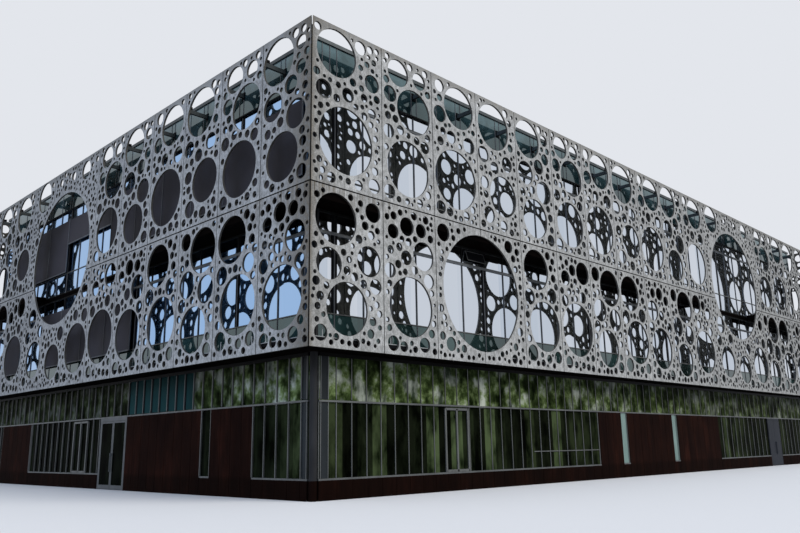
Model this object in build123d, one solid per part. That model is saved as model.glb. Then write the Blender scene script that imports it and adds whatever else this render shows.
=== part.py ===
from build123d import *
import os

# University building, a scale model at 1:20, so 1 mm here is 20 mm on the real building.
# +X runs along the long front, +Y runs back along the short side, +Z is up.
# Until place() moves it, the ground-level corner nearest the viewer is at (0, 0, 0).

# Plan of the screen, in bays of 2.7 m
BAY = 135.0
FRONT_CORNER_BAY = 162.0
SIDE_CORNER_BAY = 140.0
FRONT_BAYS = 18
SIDE_BAYS = 12

# Heights of the screen: its foot above the ground, and its two rows of panels
SCREEN_FOOT = 234.0
LOWER_ROW = 268.0
UPPER_ROW = 296.0

# The perforated screen, with open joints between its precast panels and mitres at its corners
SCREEN_THICK = 4.0
PANEL_JOINT = 1.6
CORNER_JOINT = 1.5
WALL_SETBACK = 50.0
SEEN_RADIUS = 30.0
HIDDEN_RADIUS = 39.0
HOLE_SIDES = 16

# Circles that span several panels: radius, and height of the middle over the screen's foot
ROUND_RADIUS = 116.0
ROUND_RISE = 138.0
GREAT_RADIUS = 170.0
GREAT_RISE = 327.0

# Floors and parapet, set out from the screen
GROUND_SLAB = 6.0
FLOOR_SLAB = 10.0
DECK_DROP = 24.0
DECK_THICK = 17.0
SIDE_DECK_SHORT = 95.0
ROOF_DROP = 57.0
PARAPET_HIGH = 57.0
PARAPET_THICK = 6.0
CAP_HEIGHT = 7.0
CAP_LIP = 4.0

# Brackets that carry the screen's head, above the roof
BRACKET_WIDE = 5.0
BRACKET_HIGH = 8.0
BRACKET_RISE = 15.0

# Ground-floor wall
SILL = 31.0
RAIL_HIGH = 3.0
RAIL_DEEP = 8.0
TRANSOM = 154.0
HEAD_RAIL = 6.0
BASE_WALL_THICK = 12.0
BROWN_WALL_THICK = 10.0
GLASS_THICK = 1.6
GLASS_INSET = 3.0
COLUMN_RADIUS = 6.5

# Where the ground floor's stretches start and end, in bays from the near corner
FRONT_BROWN_BAYS = (6.76, 11.78)
FRONT_SLIT_BAYS = (7.54, 9.56)
FRONT_DOOR_BAYS = 14.71
SIDE_BROWN_FIRST_BAYS = (1.60, 2.60)
SIDE_BROWN_SECOND_BAYS = 2.85
SIDE_DOOR_BAYS = 5.10
SIDE_BROWN_THIRD_BAYS = (9.15, 10.71)

# Where the wide circles stand, in bays from the first joint of their face
FRONT_ROUND_BAYS = 2.0
FRONT_GREAT_BAYS = 11.49
SIDE_GREAT_BAYS = 6.45

# Slit windows and doors
SLIT_WIDE = 31.0
FRONT_DOOR_WIDE = 103.0
SIDE_DOOR_WIDE = 128.0
DOOR_JAMB = 4.0
DOOR_HEAD = 7.0
LEAF_THICK = 2.4
LEAF_GAP = 0.5
LEAF_FOOT = 1.0
STILE = 4.0
BOTTOM_RAIL = 9.0
PANE_THICK = 1.0
PULL_RADIUS = 0.8
PULL_REACH = 2.6
PULL_LENGTH = 40.0
PULL_LEVEL = 38.0
PULL_ARM_IN = 4.0

# How far a cutting tool runs past the face that it cuts
OVERCUT = 1.0

# Sizes worked out from the ones above
LENGTH = FRONT_CORNER_BAY + (FRONT_BAYS - 1) * BAY
DEPTH = SIDE_CORNER_BAY + (SIDE_BAYS - 1) * BAY
MID_JOINT = SCREEN_FOOT + LOWER_ROW
SCREEN_TOP = MID_JOINT + UPPER_ROW
SECOND_FLOOR = MID_JOINT - DECK_DROP
ROOF_TOP = SCREEN_TOP - ROOF_DROP
ROOF_EDGE = ROOF_TOP + PARAPET_HIGH
BRACKET_LEVEL = ROOF_TOP + BRACKET_RISE
SILL_TOP = SILL + RAIL_HIGH
TRANSOM_TOP = TRANSOM + RAIL_HIGH
HEAD = SCREEN_FOOT - HEAD_RAIL
COLUMN_SPACE = WALL_SETBACK + 2 * COLUMN_RADIUS
FRONT_BROWN = tuple(BAY * place for place in FRONT_BROWN_BAYS)
FRONT_SLITS = [(BAY * place, BAY * place + SLIT_WIDE) for place in FRONT_SLIT_BAYS]
FRONT_DOOR = (BAY * FRONT_DOOR_BAYS, BAY * FRONT_DOOR_BAYS + FRONT_DOOR_WIDE)
SIDE_DOOR = (BAY * SIDE_DOOR_BAYS, BAY * SIDE_DOOR_BAYS + SIDE_DOOR_WIDE)
SIDE_BROWN_FIRST = tuple(BAY * place for place in SIDE_BROWN_FIRST_BAYS)
SIDE_BROWN_SECOND = (BAY * SIDE_BROWN_SECOND_BAYS, SIDE_DOOR[0])
SIDE_BROWN_THIRD = tuple(BAY * place for place in SIDE_BROWN_THIRD_BAYS)

# The wide circles, as (along, height, radius)
FRONT_ROUND = (FRONT_CORNER_BAY + BAY * FRONT_ROUND_BAYS, SCREEN_FOOT + ROUND_RISE, ROUND_RADIUS)
FRONT_GREAT = (FRONT_CORNER_BAY + BAY * FRONT_GREAT_BAYS, SCREEN_FOOT + GREAT_RISE, GREAT_RADIUS)
SIDE_GREAT = (SIDE_CORNER_BAY + BAY * SIDE_GREAT_BAYS, SCREEN_FOOT + GREAT_RISE, GREAT_RADIUS)

# Round holes of each precast panel: across from its left joint, up from its foot, radius,
# all in hundredths of a bay. A small letter in a row of panels is that panel turned over.
UPPER_PANELS = {
    "A": ((41, 181, 33), (57, 65, 45)),
    "B": ((32, 193, 20), (62, 143, 33), (49, 56, 40)),
    "C": ((60, 180, 33), (49, 65, 45)),
    "D": ((43, 175, 38), (61, 64, 33)),
    "E": ((34, 181, 33), (24, 120, 20), (73, 96, 20), (45, 46, 33)),
    "X": ((57, 194, 18),),
    "Y": (),
    "Z": ((50, 187, 31),),
}
LOWER_PANELS = {
    "A": ((41, 158, 33), (30, 101, 20), (95, 113, 20), (59, 49, 33)),
    "N": ((35, 158, 33), (24, 101, 20), (73, 114, 20), (53, 48, 33)),
    "B": ((75, 136, 20), (50, 64, 40)),
    "E": ((38, 158, 33), (55, 68, 40)),
    "F": ((24, 172, 20), (49, 72, 45)),
    "G": ((45, 63, 43),),
    "H": ((44, 47, 32),),
    "I": ((57, 140, 19), (37, 59, 35)),
    "P": (),
    "Q": (),
}
FRONT_UPPER = "ABCDEBCDCECzyxBCDE"
FRONT_LOWER = "ABPQEfnEbnFihgnEBF"
SIDE_UPPER = "ebdcebXYZdeb"
SIDE_LOWER = "beNebFGHIFNe"
BACK_UPPER = "aBCDEBCDEBCDEBCDEB"
BACK_LOWER = "aEBFNEBFNEBFNEBFNE"
FAR_UPPER = "CDEBCDEBCDEB"
FAR_LOWER = "BFNEBFNEBFNE"


def joints(corner_bay, bays):
    """Places of the vertical joints along one face, from its near corner."""
    return [0.0] + [corner_bay + BAY * n for n in range(bays)]


FRONT_JOINTS = joints(FRONT_CORNER_BAY, FRONT_BAYS)
SIDE_JOINTS = joints(SIDE_CORNER_BAY, SIDE_BAYS)

# One drawing plane a face, with x along the face and y up, and its inward side
FRONT_PLANE = Plane(origin=(0, 0, 0), x_dir=(1, 0, 0), z_dir=(0, -1, 0))
BACK_PLANE = Plane(origin=(0, DEPTH, 0), x_dir=(1, 0, 0), z_dir=(0, -1, 0))
SIDE_PLANE = Plane(origin=(0, 0, 0), x_dir=(0, 1, 0), z_dir=(1, 0, 0))
FAR_PLANE = Plane(origin=(LENGTH, 0, 0), x_dir=(0, 1, 0), z_dir=(1, 0, 0))
INWARD = {"front": -1, "back": 1, "side": 1, "far": -1}
FACE_PLANE = {"front": FRONT_PLANE, "back": BACK_PLANE, "side": SIDE_PLANE, "far": FAR_PLANE}
FACE_LENGTH = {"front": LENGTH, "back": LENGTH, "side": DEPTH, "far": DEPTH}


def slab(x0, x1, y0, y1, z0, z1):
    """A box between two corners."""
    return Pos(x0, y0, z0) * Box(x1 - x0, y1 - y0, z1 - z0, align=(Align.MIN, Align.MIN, Align.MIN))


def in_plan(face, along, deep):
    """A point of one face in plan, from its place along the face and behind the screen's outer plane."""
    if face == "front":
        return along, deep
    if face == "back":
        return along, DEPTH - deep
    if face == "side":
        return deep, along
    return LENGTH - deep, along


def on_face(face, along0, along1, z0, z1, deep0, deep1):
    """A box on one face: its stretch, its heights and its depths behind the screen's outer plane."""
    xs, ys = zip(in_plan(face, along0, deep0), in_plan(face, along1, deep1))
    return slab(min(xs), max(xs), min(ys), max(ys), z0, z1)


def place(shape):
    """Moves a piece so that the middle of the plan is over the origin."""
    return Pos(-LENGTH / 2, -DEPTH / 2, 0) * shape


def save(name, *solids):
    """Writes one named piece."""
    placed = [place(solid) for shape in solids for solid in shape.solids()]
    piece = placed[0] if len(placed) == 1 else Compound(children=placed)
    piece.label = name
    export_step(piece, f"parts/{name}.step")


def panel_circles(table, letters, joint_places, foot, least_radius):
    """Main holes of one row of panels, as (along, height, radius)."""
    circles = []
    for number, letter in enumerate(letters):
        left = joint_places[number]
        right = joint_places[number + 1]
        for across, up, radius in table[letter.upper()]:
            if radius < least_radius:
                continue
            offset = across * BAY / 100
            along = left + offset if letter.isupper() else right - offset
            circles.append((along, foot + up * BAY / 100, radius * BAY / 100))
    return circles


def touches(circle, left, right, foot, top):
    """Whether a circle reaches into a panel."""
    along, height, radius = circle
    near_along = min(max(along, left), right)
    near_height = min(max(height, foot), top)
    return (along - near_along) ** 2 + (height - near_height) ** 2 < radius**2


def panels_at(circle, joint_places):
    """Numbers of the panels that a wide circle reaches into along its face."""
    along, _, radius = circle
    return [number for number in range(len(joint_places) - 1)
            if joint_places[number] < along + radius and joint_places[number + 1] > along - radius]


def mitre_space(face):
    """The space that one face's screen may fill, cut back to a mitre at both of its corners."""
    far = FACE_LENGTH[face] - CORNER_JOINT
    corners = ((CORNER_JOINT, 0.0), (far, 0.0), (far - SCREEN_THICK, SCREEN_THICK),
               (CORNER_JOINT + SCREEN_THICK, SCREEN_THICK))
    outline = Polygon(*[in_plan(face, along, deep) for along, deep in corners], align=None)
    return Pos(0, 0, SCREEN_FOOT) * extrude(outline, SCREEN_TOP - SCREEN_FOOT, dir=(0, 0, 1))


def panel(face, joint_places, number, foot, top, circles):
    """One precast panel with its round holes cut through: the repeated ones have HOLE_SIDES sides."""
    left = joint_places[number] + PANEL_JOINT / 2
    right = joint_places[number + 1] - PANEL_JOINT / 2
    middle = ((left + right) / 2, (foot + top) / 2)
    outline = Pos(*middle) * Rectangle(right - left, top - foot)
    for along, height, radius in circles:
        if touches((along, height, radius), left, right, foot, top):
            wide = radius > BAY / 2
            hole = Circle(radius) if wide else RegularPolygon(radius, HOLE_SIDES)
            outline -= Pos(along, height) * hole
    solid = extrude(FACE_PLANE[face] * outline, INWARD[face] * SCREEN_THICK)
    at_corner = number in (0, len(joint_places) - 2)
    return solid & mitre_space(face) if at_corner else solid


def row(face, joint_places, numbers, level, circles):
    """The panels of one row that have the given numbers."""
    foot = SCREEN_FOOT if level == "lower" else MID_JOINT + PANEL_JOINT / 2
    top = MID_JOINT - PANEL_JOINT / 2 if level == "lower" else SCREEN_TOP
    return [panel(face, joint_places, number, foot, top, circles) for number in numbers]


def front_screen():
    """The long screen over the front, with its round window and its great circle."""
    wide = [FRONT_ROUND, FRONT_GREAT]
    upper = wide + panel_circles(UPPER_PANELS, FRONT_UPPER, FRONT_JOINTS, MID_JOINT, SEEN_RADIUS)
    lower = wide + panel_circles(LOWER_PANELS, FRONT_LOWER, FRONT_JOINTS, SCREEN_FOOT, SEEN_RADIUS)
    great_panels = panels_at(FRONT_GREAT, FRONT_JOINTS)
    round_panels = panels_at(FRONT_ROUND, FRONT_JOINTS)
    plain = [n for n in range(FRONT_BAYS) if n not in great_panels]
    plain_lower = [n for n in plain if n not in round_panels]
    save("front_screen_upper", *row("front", FRONT_JOINTS, plain, "upper", upper))
    save("front_screen_lower", *row("front", FRONT_JOINTS, plain_lower, "lower", lower))
    save("front_screen_round", *row("front", FRONT_JOINTS, round_panels, "lower", lower))
    great = row("front", FRONT_JOINTS, great_panels, "upper", upper)
    great += row("front", FRONT_JOINTS, great_panels, "lower", lower)
    save("front_screen_great", *great)


def side_screen():
    """The short screen, with its great circle over both rows."""
    upper = [SIDE_GREAT] + panel_circles(UPPER_PANELS, SIDE_UPPER, SIDE_JOINTS, MID_JOINT, SEEN_RADIUS)
    lower = [SIDE_GREAT] + panel_circles(LOWER_PANELS, SIDE_LOWER, SIDE_JOINTS, SCREEN_FOOT, SEEN_RADIUS)
    great_panels = panels_at(SIDE_GREAT, SIDE_JOINTS)
    plain = [n for n in range(SIDE_BAYS) if n not in great_panels]
    save("side_screen_upper", *row("side", SIDE_JOINTS, plain, "upper", upper))
    save("side_screen_lower", *row("side", SIDE_JOINTS, plain, "lower", lower))
    great = row("side", SIDE_JOINTS, great_panels, "upper", upper)
    great += row("side", SIDE_JOINTS, great_panels, "lower", lower)
    save("side_screen_great", *great)


def hidden_screen(face, joint_places, upper_letters, lower_letters):
    """A screen on a side away from the viewer: the same panels in a plain repeat."""
    numbers = range(len(upper_letters))
    upper = panel_circles(UPPER_PANELS, upper_letters, joint_places, MID_JOINT, HIDDEN_RADIUS)
    lower = panel_circles(LOWER_PANELS, lower_letters, joint_places, SCREEN_FOOT, HIDDEN_RADIUS)
    save(f"{face}_screen_upper", *row(face, joint_places, numbers, "upper", upper))
    save(f"{face}_screen_lower", *row(face, joint_places, numbers, "lower", lower))


def brackets(face, joint_places):
    """Beams at the vertical joints that hold the screen's head off the parapet."""
    beams = []
    for along in joint_places[1:-1]:
        left = along - BRACKET_WIDE / 2
        beam = on_face(face, left, left + BRACKET_WIDE, BRACKET_LEVEL, BRACKET_LEVEL + BRACKET_HIGH,
                       SCREEN_THICK, WALL_SETBACK)
        beams.append(beam)
    save(f"{face}_brackets", *beams)


def gallery_decks():
    """Decks behind the middle joint of the screen, left out behind the great circles."""
    low = SECOND_FLOOR
    high = low + DECK_THICK
    far_end = LENGTH - SCREEN_THICK
    back_end = DEPTH - SCREEN_THICK
    front_gap = panels_at(FRONT_GREAT, FRONT_JOINTS)
    first = on_face("front", WALL_SETBACK, FRONT_JOINTS[front_gap[0]], low, high, SCREEN_THICK, WALL_SETBACK)
    second = on_face("front", FRONT_JOINTS[front_gap[-1] + 1], far_end, low, high,
                     SCREEN_THICK, WALL_SETBACK)
    save("front_gallery_deck", first, second)
    side_gap = panels_at(SIDE_GREAT, SIDE_JOINTS)
    first = on_face("side", SCREEN_THICK, SIDE_JOINTS[side_gap[0]] - SIDE_DECK_SHORT, low, high,
                    SCREEN_THICK, WALL_SETBACK)
    second = on_face("side", SIDE_JOINTS[side_gap[-1] + 1], back_end, low, high,
                     SCREEN_THICK, WALL_SETBACK)
    save("side_gallery_deck", first, second)


def floor_plate(inset, z0, z1):
    """A floor that keeps one distance from the screen's outer planes, cut square at the columns."""
    plate = slab(inset, LENGTH - inset, inset, DEPTH - inset, z0, z1)
    for x in (WALL_SETBACK, LENGTH - COLUMN_SPACE):
        for y in (WALL_SETBACK, DEPTH - COLUMN_SPACE):
            plate -= slab(x, x + 2 * COLUMN_RADIUS, y, y + 2 * COLUMN_RADIUS, z0 - OVERCUT, z1 + OVERCUT)
    return plate


def floors():
    """Ground slab, two upper floors and the roof slab. The first floor reaches out to the screen."""
    save("ground_floor", floor_plate(WALL_SETBACK + BASE_WALL_THICK, 0, GROUND_SLAB))
    save("first_floor", floor_plate(SCREEN_THICK, SCREEN_FOOT, SCREEN_FOOT + FLOOR_SLAB))
    save("second_floor", floor_plate(WALL_SETBACK, SECOND_FLOOR, SECOND_FLOOR + FLOOR_SLAB))
    save("roof_slab", floor_plate(WALL_SETBACK, ROOF_TOP - FLOOR_SLAB, ROOF_TOP))


def at_corners(z0, z1):
    """Round posts of the columns' radius in the four corners of the wall."""
    post = Cylinder(COLUMN_RADIUS, z1 - z0, align=(Align.CENTER, Align.CENTER, Align.MIN))
    inset = WALL_SETBACK + COLUMN_RADIUS
    places = [(x, y) for x in (inset, LENGTH - inset) for y in (inset, DEPTH - inset)]
    return [Pos(x, y, z0) * post for x, y in places]


def corner_columns():
    """Round columns from the base to under the parapet, on round corners of the brown base."""
    save("base_corners", *at_corners(0, SILL))
    save("corner_columns", *at_corners(SILL, ROOF_TOP))


def between_columns(face):
    """The stretch of one face's wall between its two corner columns."""
    return COLUMN_SPACE, FACE_LENGTH[face] - COLUMN_SPACE


def parapet(face):
    """An upstand on the roof's edge with a dark cap that laps over both its faces."""
    inset = WALL_SETBACK if face in ("front", "back") else WALL_SETBACK + PARAPET_THICK + CAP_LIP
    far = FACE_LENGTH[face] - inset
    foot = ROOF_TOP
    cap_foot = ROOF_EDGE - CAP_HEIGHT
    upstand = on_face(face, inset, far, foot, cap_foot, WALL_SETBACK, WALL_SETBACK + PARAPET_THICK)
    lap = CAP_LIP if face in ("front", "back") else 0.0
    cap = on_face(face, inset - lap, far + lap, cap_foot, ROOF_EDGE,
                  WALL_SETBACK - CAP_LIP, WALL_SETBACK + PARAPET_THICK + CAP_LIP)
    save(f"{face}_parapet", upstand + cap)


def upper_glass(face):
    """One sheet of glass a storey, between the floors and between the corner columns."""
    near, far = between_columns(face)
    deep = WALL_SETBACK + GLASS_INSET
    first = on_face(face, near, far, SCREEN_FOOT + FLOOR_SLAB, SECOND_FLOOR, deep, deep + GLASS_THICK)
    second = on_face(face, near, far, SECOND_FLOOR + FLOOR_SLAB, ROOF_TOP - FLOOR_SLAB,
                     deep, deep + GLASS_THICK)
    save(f"{face}_upper_glass", first, second)


def ground_strips(face, stretches, z0, z1, deep0, deep1):
    """Boxes of one height and depth along several stretches of a face."""
    return [on_face(face, start, end, z0, z1, deep0, deep1) for start, end in stretches]


def front_ground():
    """Front ground floor: base wall, brown panels with two slit windows, glass and rails."""
    near, far = between_columns("front")
    brown_start, brown_end = FRONT_BROWN
    door_start, door_end = FRONT_DOOR
    base = ((near, door_start), (door_end, far))
    save("front_base_wall",
         *ground_strips("front", base, 0, SILL, WALL_SETBACK, WALL_SETBACK + BASE_WALL_THICK))
    first_slit, second_slit = FRONT_SLITS
    brown = ((brown_start, first_slit[0]), (first_slit[1], second_slit[0]), (second_slit[1], brown_end))
    save("front_brown_wall",
         *ground_strips("front", brown, SILL, TRANSOM, WALL_SETBACK, WALL_SETBACK + BROWN_WALL_THICK))
    sills = ((near, brown_start), first_slit, second_slit, (brown_end, door_start), (door_end, far))
    full = (near, far)
    rails = ground_strips("front", sills, SILL, SILL_TOP, WALL_SETBACK, WALL_SETBACK + RAIL_DEEP)
    rails += ground_strips("front", (full,), TRANSOM, TRANSOM_TOP, WALL_SETBACK, WALL_SETBACK + RAIL_DEEP)
    rails += ground_strips("front", (full,), HEAD, SCREEN_FOOT, WALL_SETBACK, WALL_SETBACK + RAIL_DEEP)
    save("front_ground_rails", *rails)
    deep = WALL_SETBACK + GLASS_INSET
    glass = ground_strips("front", sills, SILL_TOP, TRANSOM, deep, deep + GLASS_THICK)
    glass += ground_strips("front", (full,), TRANSOM_TOP, HEAD, deep, deep + GLASS_THICK)
    save("front_ground_glass", *glass)


def side_ground():
    """Side ground floor: base wall, three brown stretches, the entrance, glass and rails."""
    near, far = between_columns("side")
    first, second, third = SIDE_BROWN_FIRST, SIDE_BROWN_SECOND, SIDE_BROWN_THIRD
    door_start, door_end = SIDE_DOOR
    base = ((near, door_start), (door_end, far))
    save("side_base_wall",
         *ground_strips("side", base, 0, SILL, WALL_SETBACK, WALL_SETBACK + BASE_WALL_THICK))
    save("side_brown_wall",
         *ground_strips("side", (first, second, third), SILL, TRANSOM,
                        WALL_SETBACK, WALL_SETBACK + BROWN_WALL_THICK))
    windows = ((near, first[0]), (first[1], second[0]), (door_end, third[0]), (third[1], far))
    full = (near, far)
    rails = ground_strips("side", windows, SILL, SILL_TOP, WALL_SETBACK, WALL_SETBACK + RAIL_DEEP)
    rails += ground_strips("side", (full,), TRANSOM, TRANSOM_TOP, WALL_SETBACK, WALL_SETBACK + RAIL_DEEP)
    rails += ground_strips("side", (full,), HEAD, SCREEN_FOOT, WALL_SETBACK, WALL_SETBACK + RAIL_DEEP)
    save("side_ground_rails", *rails)
    deep = WALL_SETBACK + GLASS_INSET
    glass = ground_strips("side", windows, SILL_TOP, TRANSOM, deep, deep + GLASS_THICK)
    glass += ground_strips("side", (full,), TRANSOM_TOP, HEAD, deep, deep + GLASS_THICK)
    save("side_ground_glass", *glass)


def hidden_ground(face):
    """Ground floor of a hidden side: brown wall to the transom, glass and a head rail over it."""
    near, far = between_columns(face)
    wall = on_face(face, near, far, 0, TRANSOM, WALL_SETBACK, WALL_SETBACK + BASE_WALL_THICK)
    save(f"{face}_brown_wall", wall)
    deep = WALL_SETBACK + GLASS_INSET
    save(f"{face}_ground_glass",
         on_face(face, near, far, TRANSOM, SCREEN_FOOT, deep, deep + GLASS_THICK))


def door_frame(face, name, opening):
    """A frame round a double doorway: two jambs and a head up to the transom."""
    start, end = opening
    frame = on_face(face, start, end, 0, TRANSOM, WALL_SETBACK, WALL_SETBACK + RAIL_DEEP)
    frame -= on_face(face, start + DOOR_JAMB, end - DOOR_JAMB, -OVERCUT, TRANSOM - DOOR_HEAD,
                     WALL_SETBACK - OVERCUT, WALL_SETBACK + RAIL_DEEP + OVERCUT)
    save(name, frame)


def leaf_stretch(opening, hand):
    """The stretch of one leaf of a double door, with its running gaps."""
    start, end = opening
    middle = (start + end) / 2
    if hand == "near":
        return start + DOOR_JAMB + LEAF_GAP, middle - LEAF_GAP
    return middle + LEAF_GAP, end - DOOR_JAMB - LEAF_GAP


def pull(face, at, reach_from):
    """An upright round pull on two short arms, standing off the outer face of a leaf."""
    deep = reach_from - PULL_REACH
    bar = Cylinder(PULL_RADIUS, PULL_LENGTH, align=(Align.CENTER, Align.CENTER, Align.MIN))
    bar = Pos(*in_plan(face, at, deep), PULL_LEVEL) * bar
    for level in (PULL_LEVEL + PULL_ARM_IN, PULL_LEVEL + PULL_LENGTH - PULL_ARM_IN - PULL_RADIUS):
        bar += on_face(face, at - PULL_RADIUS / 2, at + PULL_RADIUS / 2, level, level + PULL_RADIUS,
                       deep, reach_from)
    return bar


def glazed_leaf(face, name, opening, hand):
    """A glazed leaf: stiles and rails round one pane, with an upright pull."""
    start, end = leaf_stretch(opening, hand)
    top = TRANSOM - DOOR_HEAD - LEAF_GAP
    outer = WALL_SETBACK
    inner = WALL_SETBACK + LEAF_THICK
    frame = on_face(face, start, end, LEAF_FOOT, top, outer, inner)
    frame -= on_face(face, start + STILE, end - STILE, LEAF_FOOT + BOTTOM_RAIL, top - STILE,
                     outer - OVERCUT, inner + OVERCUT)
    meeting = end - STILE / 2 if hand == "near" else start + STILE / 2
    save(name, frame + pull(face, meeting, outer))
    deep = (outer + inner - PANE_THICK) / 2
    save(f"{name}_pane",
         on_face(face, start + STILE, end - STILE, LEAF_FOOT + BOTTOM_RAIL, top - STILE,
                 deep, deep + PANE_THICK))


def flush_leaf(face, name, opening, hand):
    """A flush metal leaf with an upright pull."""
    start, end = leaf_stretch(opening, hand)
    top = TRANSOM - DOOR_HEAD - LEAF_GAP
    leaf = on_face(face, start, end, LEAF_FOOT, top, WALL_SETBACK, WALL_SETBACK + LEAF_THICK)
    meeting = end - STILE / 2 if hand == "near" else start + STILE / 2
    save(name, leaf + pull(face, meeting, WALL_SETBACK))


def doors():
    """The glazed entrance on the side and the grey double door on the front."""
    door_frame("side", "side_door_frame", SIDE_DOOR)
    glazed_leaf("side", "side_door_near_leaf", SIDE_DOOR, "near")
    glazed_leaf("side", "side_door_far_leaf", SIDE_DOOR, "far")
    door_frame("front", "front_door_frame", FRONT_DOOR)
    flush_leaf("front", "front_door_near_leaf", FRONT_DOOR, "near")
    flush_leaf("front", "front_door_far_leaf", FRONT_DOOR, "far")


os.makedirs("parts", exist_ok=True)
front_screen()
side_screen()
hidden_screen("back", FRONT_JOINTS, BACK_UPPER, BACK_LOWER)
hidden_screen("far", SIDE_JOINTS, FAR_UPPER, FAR_LOWER)
for face_name, face_joints in (("front", FRONT_JOINTS), ("side", SIDE_JOINTS),
                               ("back", FRONT_JOINTS), ("far", SIDE_JOINTS)):
    brackets(face_name, face_joints)
    parapet(face_name)
    upper_glass(face_name)
gallery_decks()
floors()
corner_columns()
front_ground()
side_ground()
hidden_ground("back")
hidden_ground("far")
doors()
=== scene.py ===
# %% [markdown]
# A university building on one corner: a glass box on a brown base, wrapped from the first floor up
# in precast concrete panels pierced with round holes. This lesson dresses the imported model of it,
# a scale model at 1:20. The construction is already there as a fixed frame. Blender only adds what
# the eye reads: the hundreds of smaller holes, the window bars, the blinds and the finishes.

# %% Load the fixed frame
import math
import bpy
import numpy as np
from mathutils import Matrix, Vector
from mathutils.geometry import delaunay_2d_cdt


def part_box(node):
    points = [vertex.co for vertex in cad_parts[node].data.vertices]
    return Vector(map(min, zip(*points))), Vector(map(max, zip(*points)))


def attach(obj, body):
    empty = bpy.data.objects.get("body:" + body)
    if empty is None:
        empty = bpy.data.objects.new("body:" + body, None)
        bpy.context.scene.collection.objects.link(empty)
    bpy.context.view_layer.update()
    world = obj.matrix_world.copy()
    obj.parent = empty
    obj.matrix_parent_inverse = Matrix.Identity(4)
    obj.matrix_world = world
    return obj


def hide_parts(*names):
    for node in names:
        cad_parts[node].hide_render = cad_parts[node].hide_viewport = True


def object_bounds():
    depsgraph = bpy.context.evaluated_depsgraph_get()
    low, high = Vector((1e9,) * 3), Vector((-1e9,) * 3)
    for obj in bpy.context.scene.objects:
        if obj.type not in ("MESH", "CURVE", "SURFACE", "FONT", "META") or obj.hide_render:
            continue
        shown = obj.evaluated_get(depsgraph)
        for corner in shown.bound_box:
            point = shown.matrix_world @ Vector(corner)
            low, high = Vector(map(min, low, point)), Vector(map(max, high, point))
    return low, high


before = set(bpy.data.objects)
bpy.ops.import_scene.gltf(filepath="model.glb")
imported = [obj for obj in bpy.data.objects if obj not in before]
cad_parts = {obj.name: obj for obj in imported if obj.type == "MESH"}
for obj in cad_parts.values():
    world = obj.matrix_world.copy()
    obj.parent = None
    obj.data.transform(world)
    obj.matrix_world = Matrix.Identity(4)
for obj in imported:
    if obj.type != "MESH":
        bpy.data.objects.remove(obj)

cad_low, cad_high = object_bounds()
scene = bpy.context.scene
scene.view_settings.view_transform = "Standard"
print("frame loaded:", len(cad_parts), "nodes")

# %% [markdown]
# All sizes below are millimetres on the model, as a model maker would measure them, and one helper
# turns them to metres. A wall is easiest to describe by three numbers: how far along it a thing
# stands from the near corner, how deep behind the screen's outer plane, and how high.

# %% Sizes read from the frame, and the places on a wall
MM = 0.001


def level(node, end):
    """The lowest (0) or highest (1) level of a CAD node, in millimetres."""
    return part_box(node)[end].z / MM


NEAR_X, NEAR_Y = cad_low.x / MM, cad_low.y / MM
FAR_X, FAR_Y = cad_high.x / MM, cad_high.y / MM
LENGTH, DEPTH = FAR_X - NEAR_X, FAR_Y - NEAR_Y
BAY = 135.0
FRONT_BAYS, SIDE_BAYS = 18, 12
FRONT_CORNER_BAY = LENGTH - (FRONT_BAYS - 1) * BAY
SIDE_CORNER_BAY = DEPTH - (SIDE_BAYS - 1) * BAY
PANEL_JOINT, LEVEL_JOINT = 1.6, 2.4
CORNER_JOINT = 1.5
SCREEN_THICK = 4.0
SCREEN_FOOT = level("front_screen_lower", 0)
MID_JOINT = (level("front_screen_lower", 1) + level("front_screen_upper", 0)) / 2
SCREEN_TOP = level("front_screen_upper", 1)
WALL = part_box("front_base_wall")[0].y / MM - NEAR_Y
WALL_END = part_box("front_base_wall")[0].x / MM - NEAR_X
SILL = level("front_base_wall", 1)
SILL_TOP = level("front_ground_glass", 0)
TRANSOM = level("front_brown_wall", 1)
FIRST_FLOOR = level("first_floor", 1)
SECOND_FLOOR = level("second_floor", 0)
ROOF_TOP = level("roof_slab", 1)
ROOF_EDGE = level("front_parapet", 1)

FACES = ("front", "side", "back", "far")
START = {"front": (NEAR_X, NEAR_Y), "side": (NEAR_X, NEAR_Y),
         "back": (NEAR_X, FAR_Y), "far": (FAR_X, NEAR_Y)}
ALONG = {"front": (1, 0), "side": (0, 1), "back": (1, 0), "far": (0, 1)}
INWARD = {"front": (0, 1), "side": (1, 0), "back": (0, -1), "far": (-1, 0)}
TURNED = ("side", "back")
RUN = {"front": LENGTH, "side": DEPTH, "back": LENGTH, "far": DEPTH}
SEEN = ("front", "side")


def spots(face, along, deep, up):
    """Points of a wall in metres: corner + along * its run + deep * its inward direction, then up."""
    along, deep, up = np.broadcast_arrays(np.asarray(along, float), deep, up)
    plan = np.array(START[face]) + along[..., None] * ALONG[face] + deep[..., None] * INWARD[face]
    return np.concatenate([plan, up[..., None]], -1).reshape(-1, 3) * MM


print(f"walls {LENGTH:.0f} x {DEPTH:.0f} mm, screen from {SCREEN_FOOT:.0f} to {SCREEN_TOP:.0f} mm")

# %% [markdown]
# The camera comes first, because every later choice is judged through it. Its place and turn were
# worked out from the vertical joints of both walls, which run to two vanishing points. It stands
# at eye height, 1.6 m on the real building, so it looks up, and it leans by one degree.

# %% Camera at the photograph's viewing angle
EYE = Vector((-1.9554, -1.7324, 0.0811))
YAW, PITCH, LEAN = (math.radians(a) for a in (45.28, 13.28, 0.943))
LENS, SENSOR = 34.376, 36.0

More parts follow.
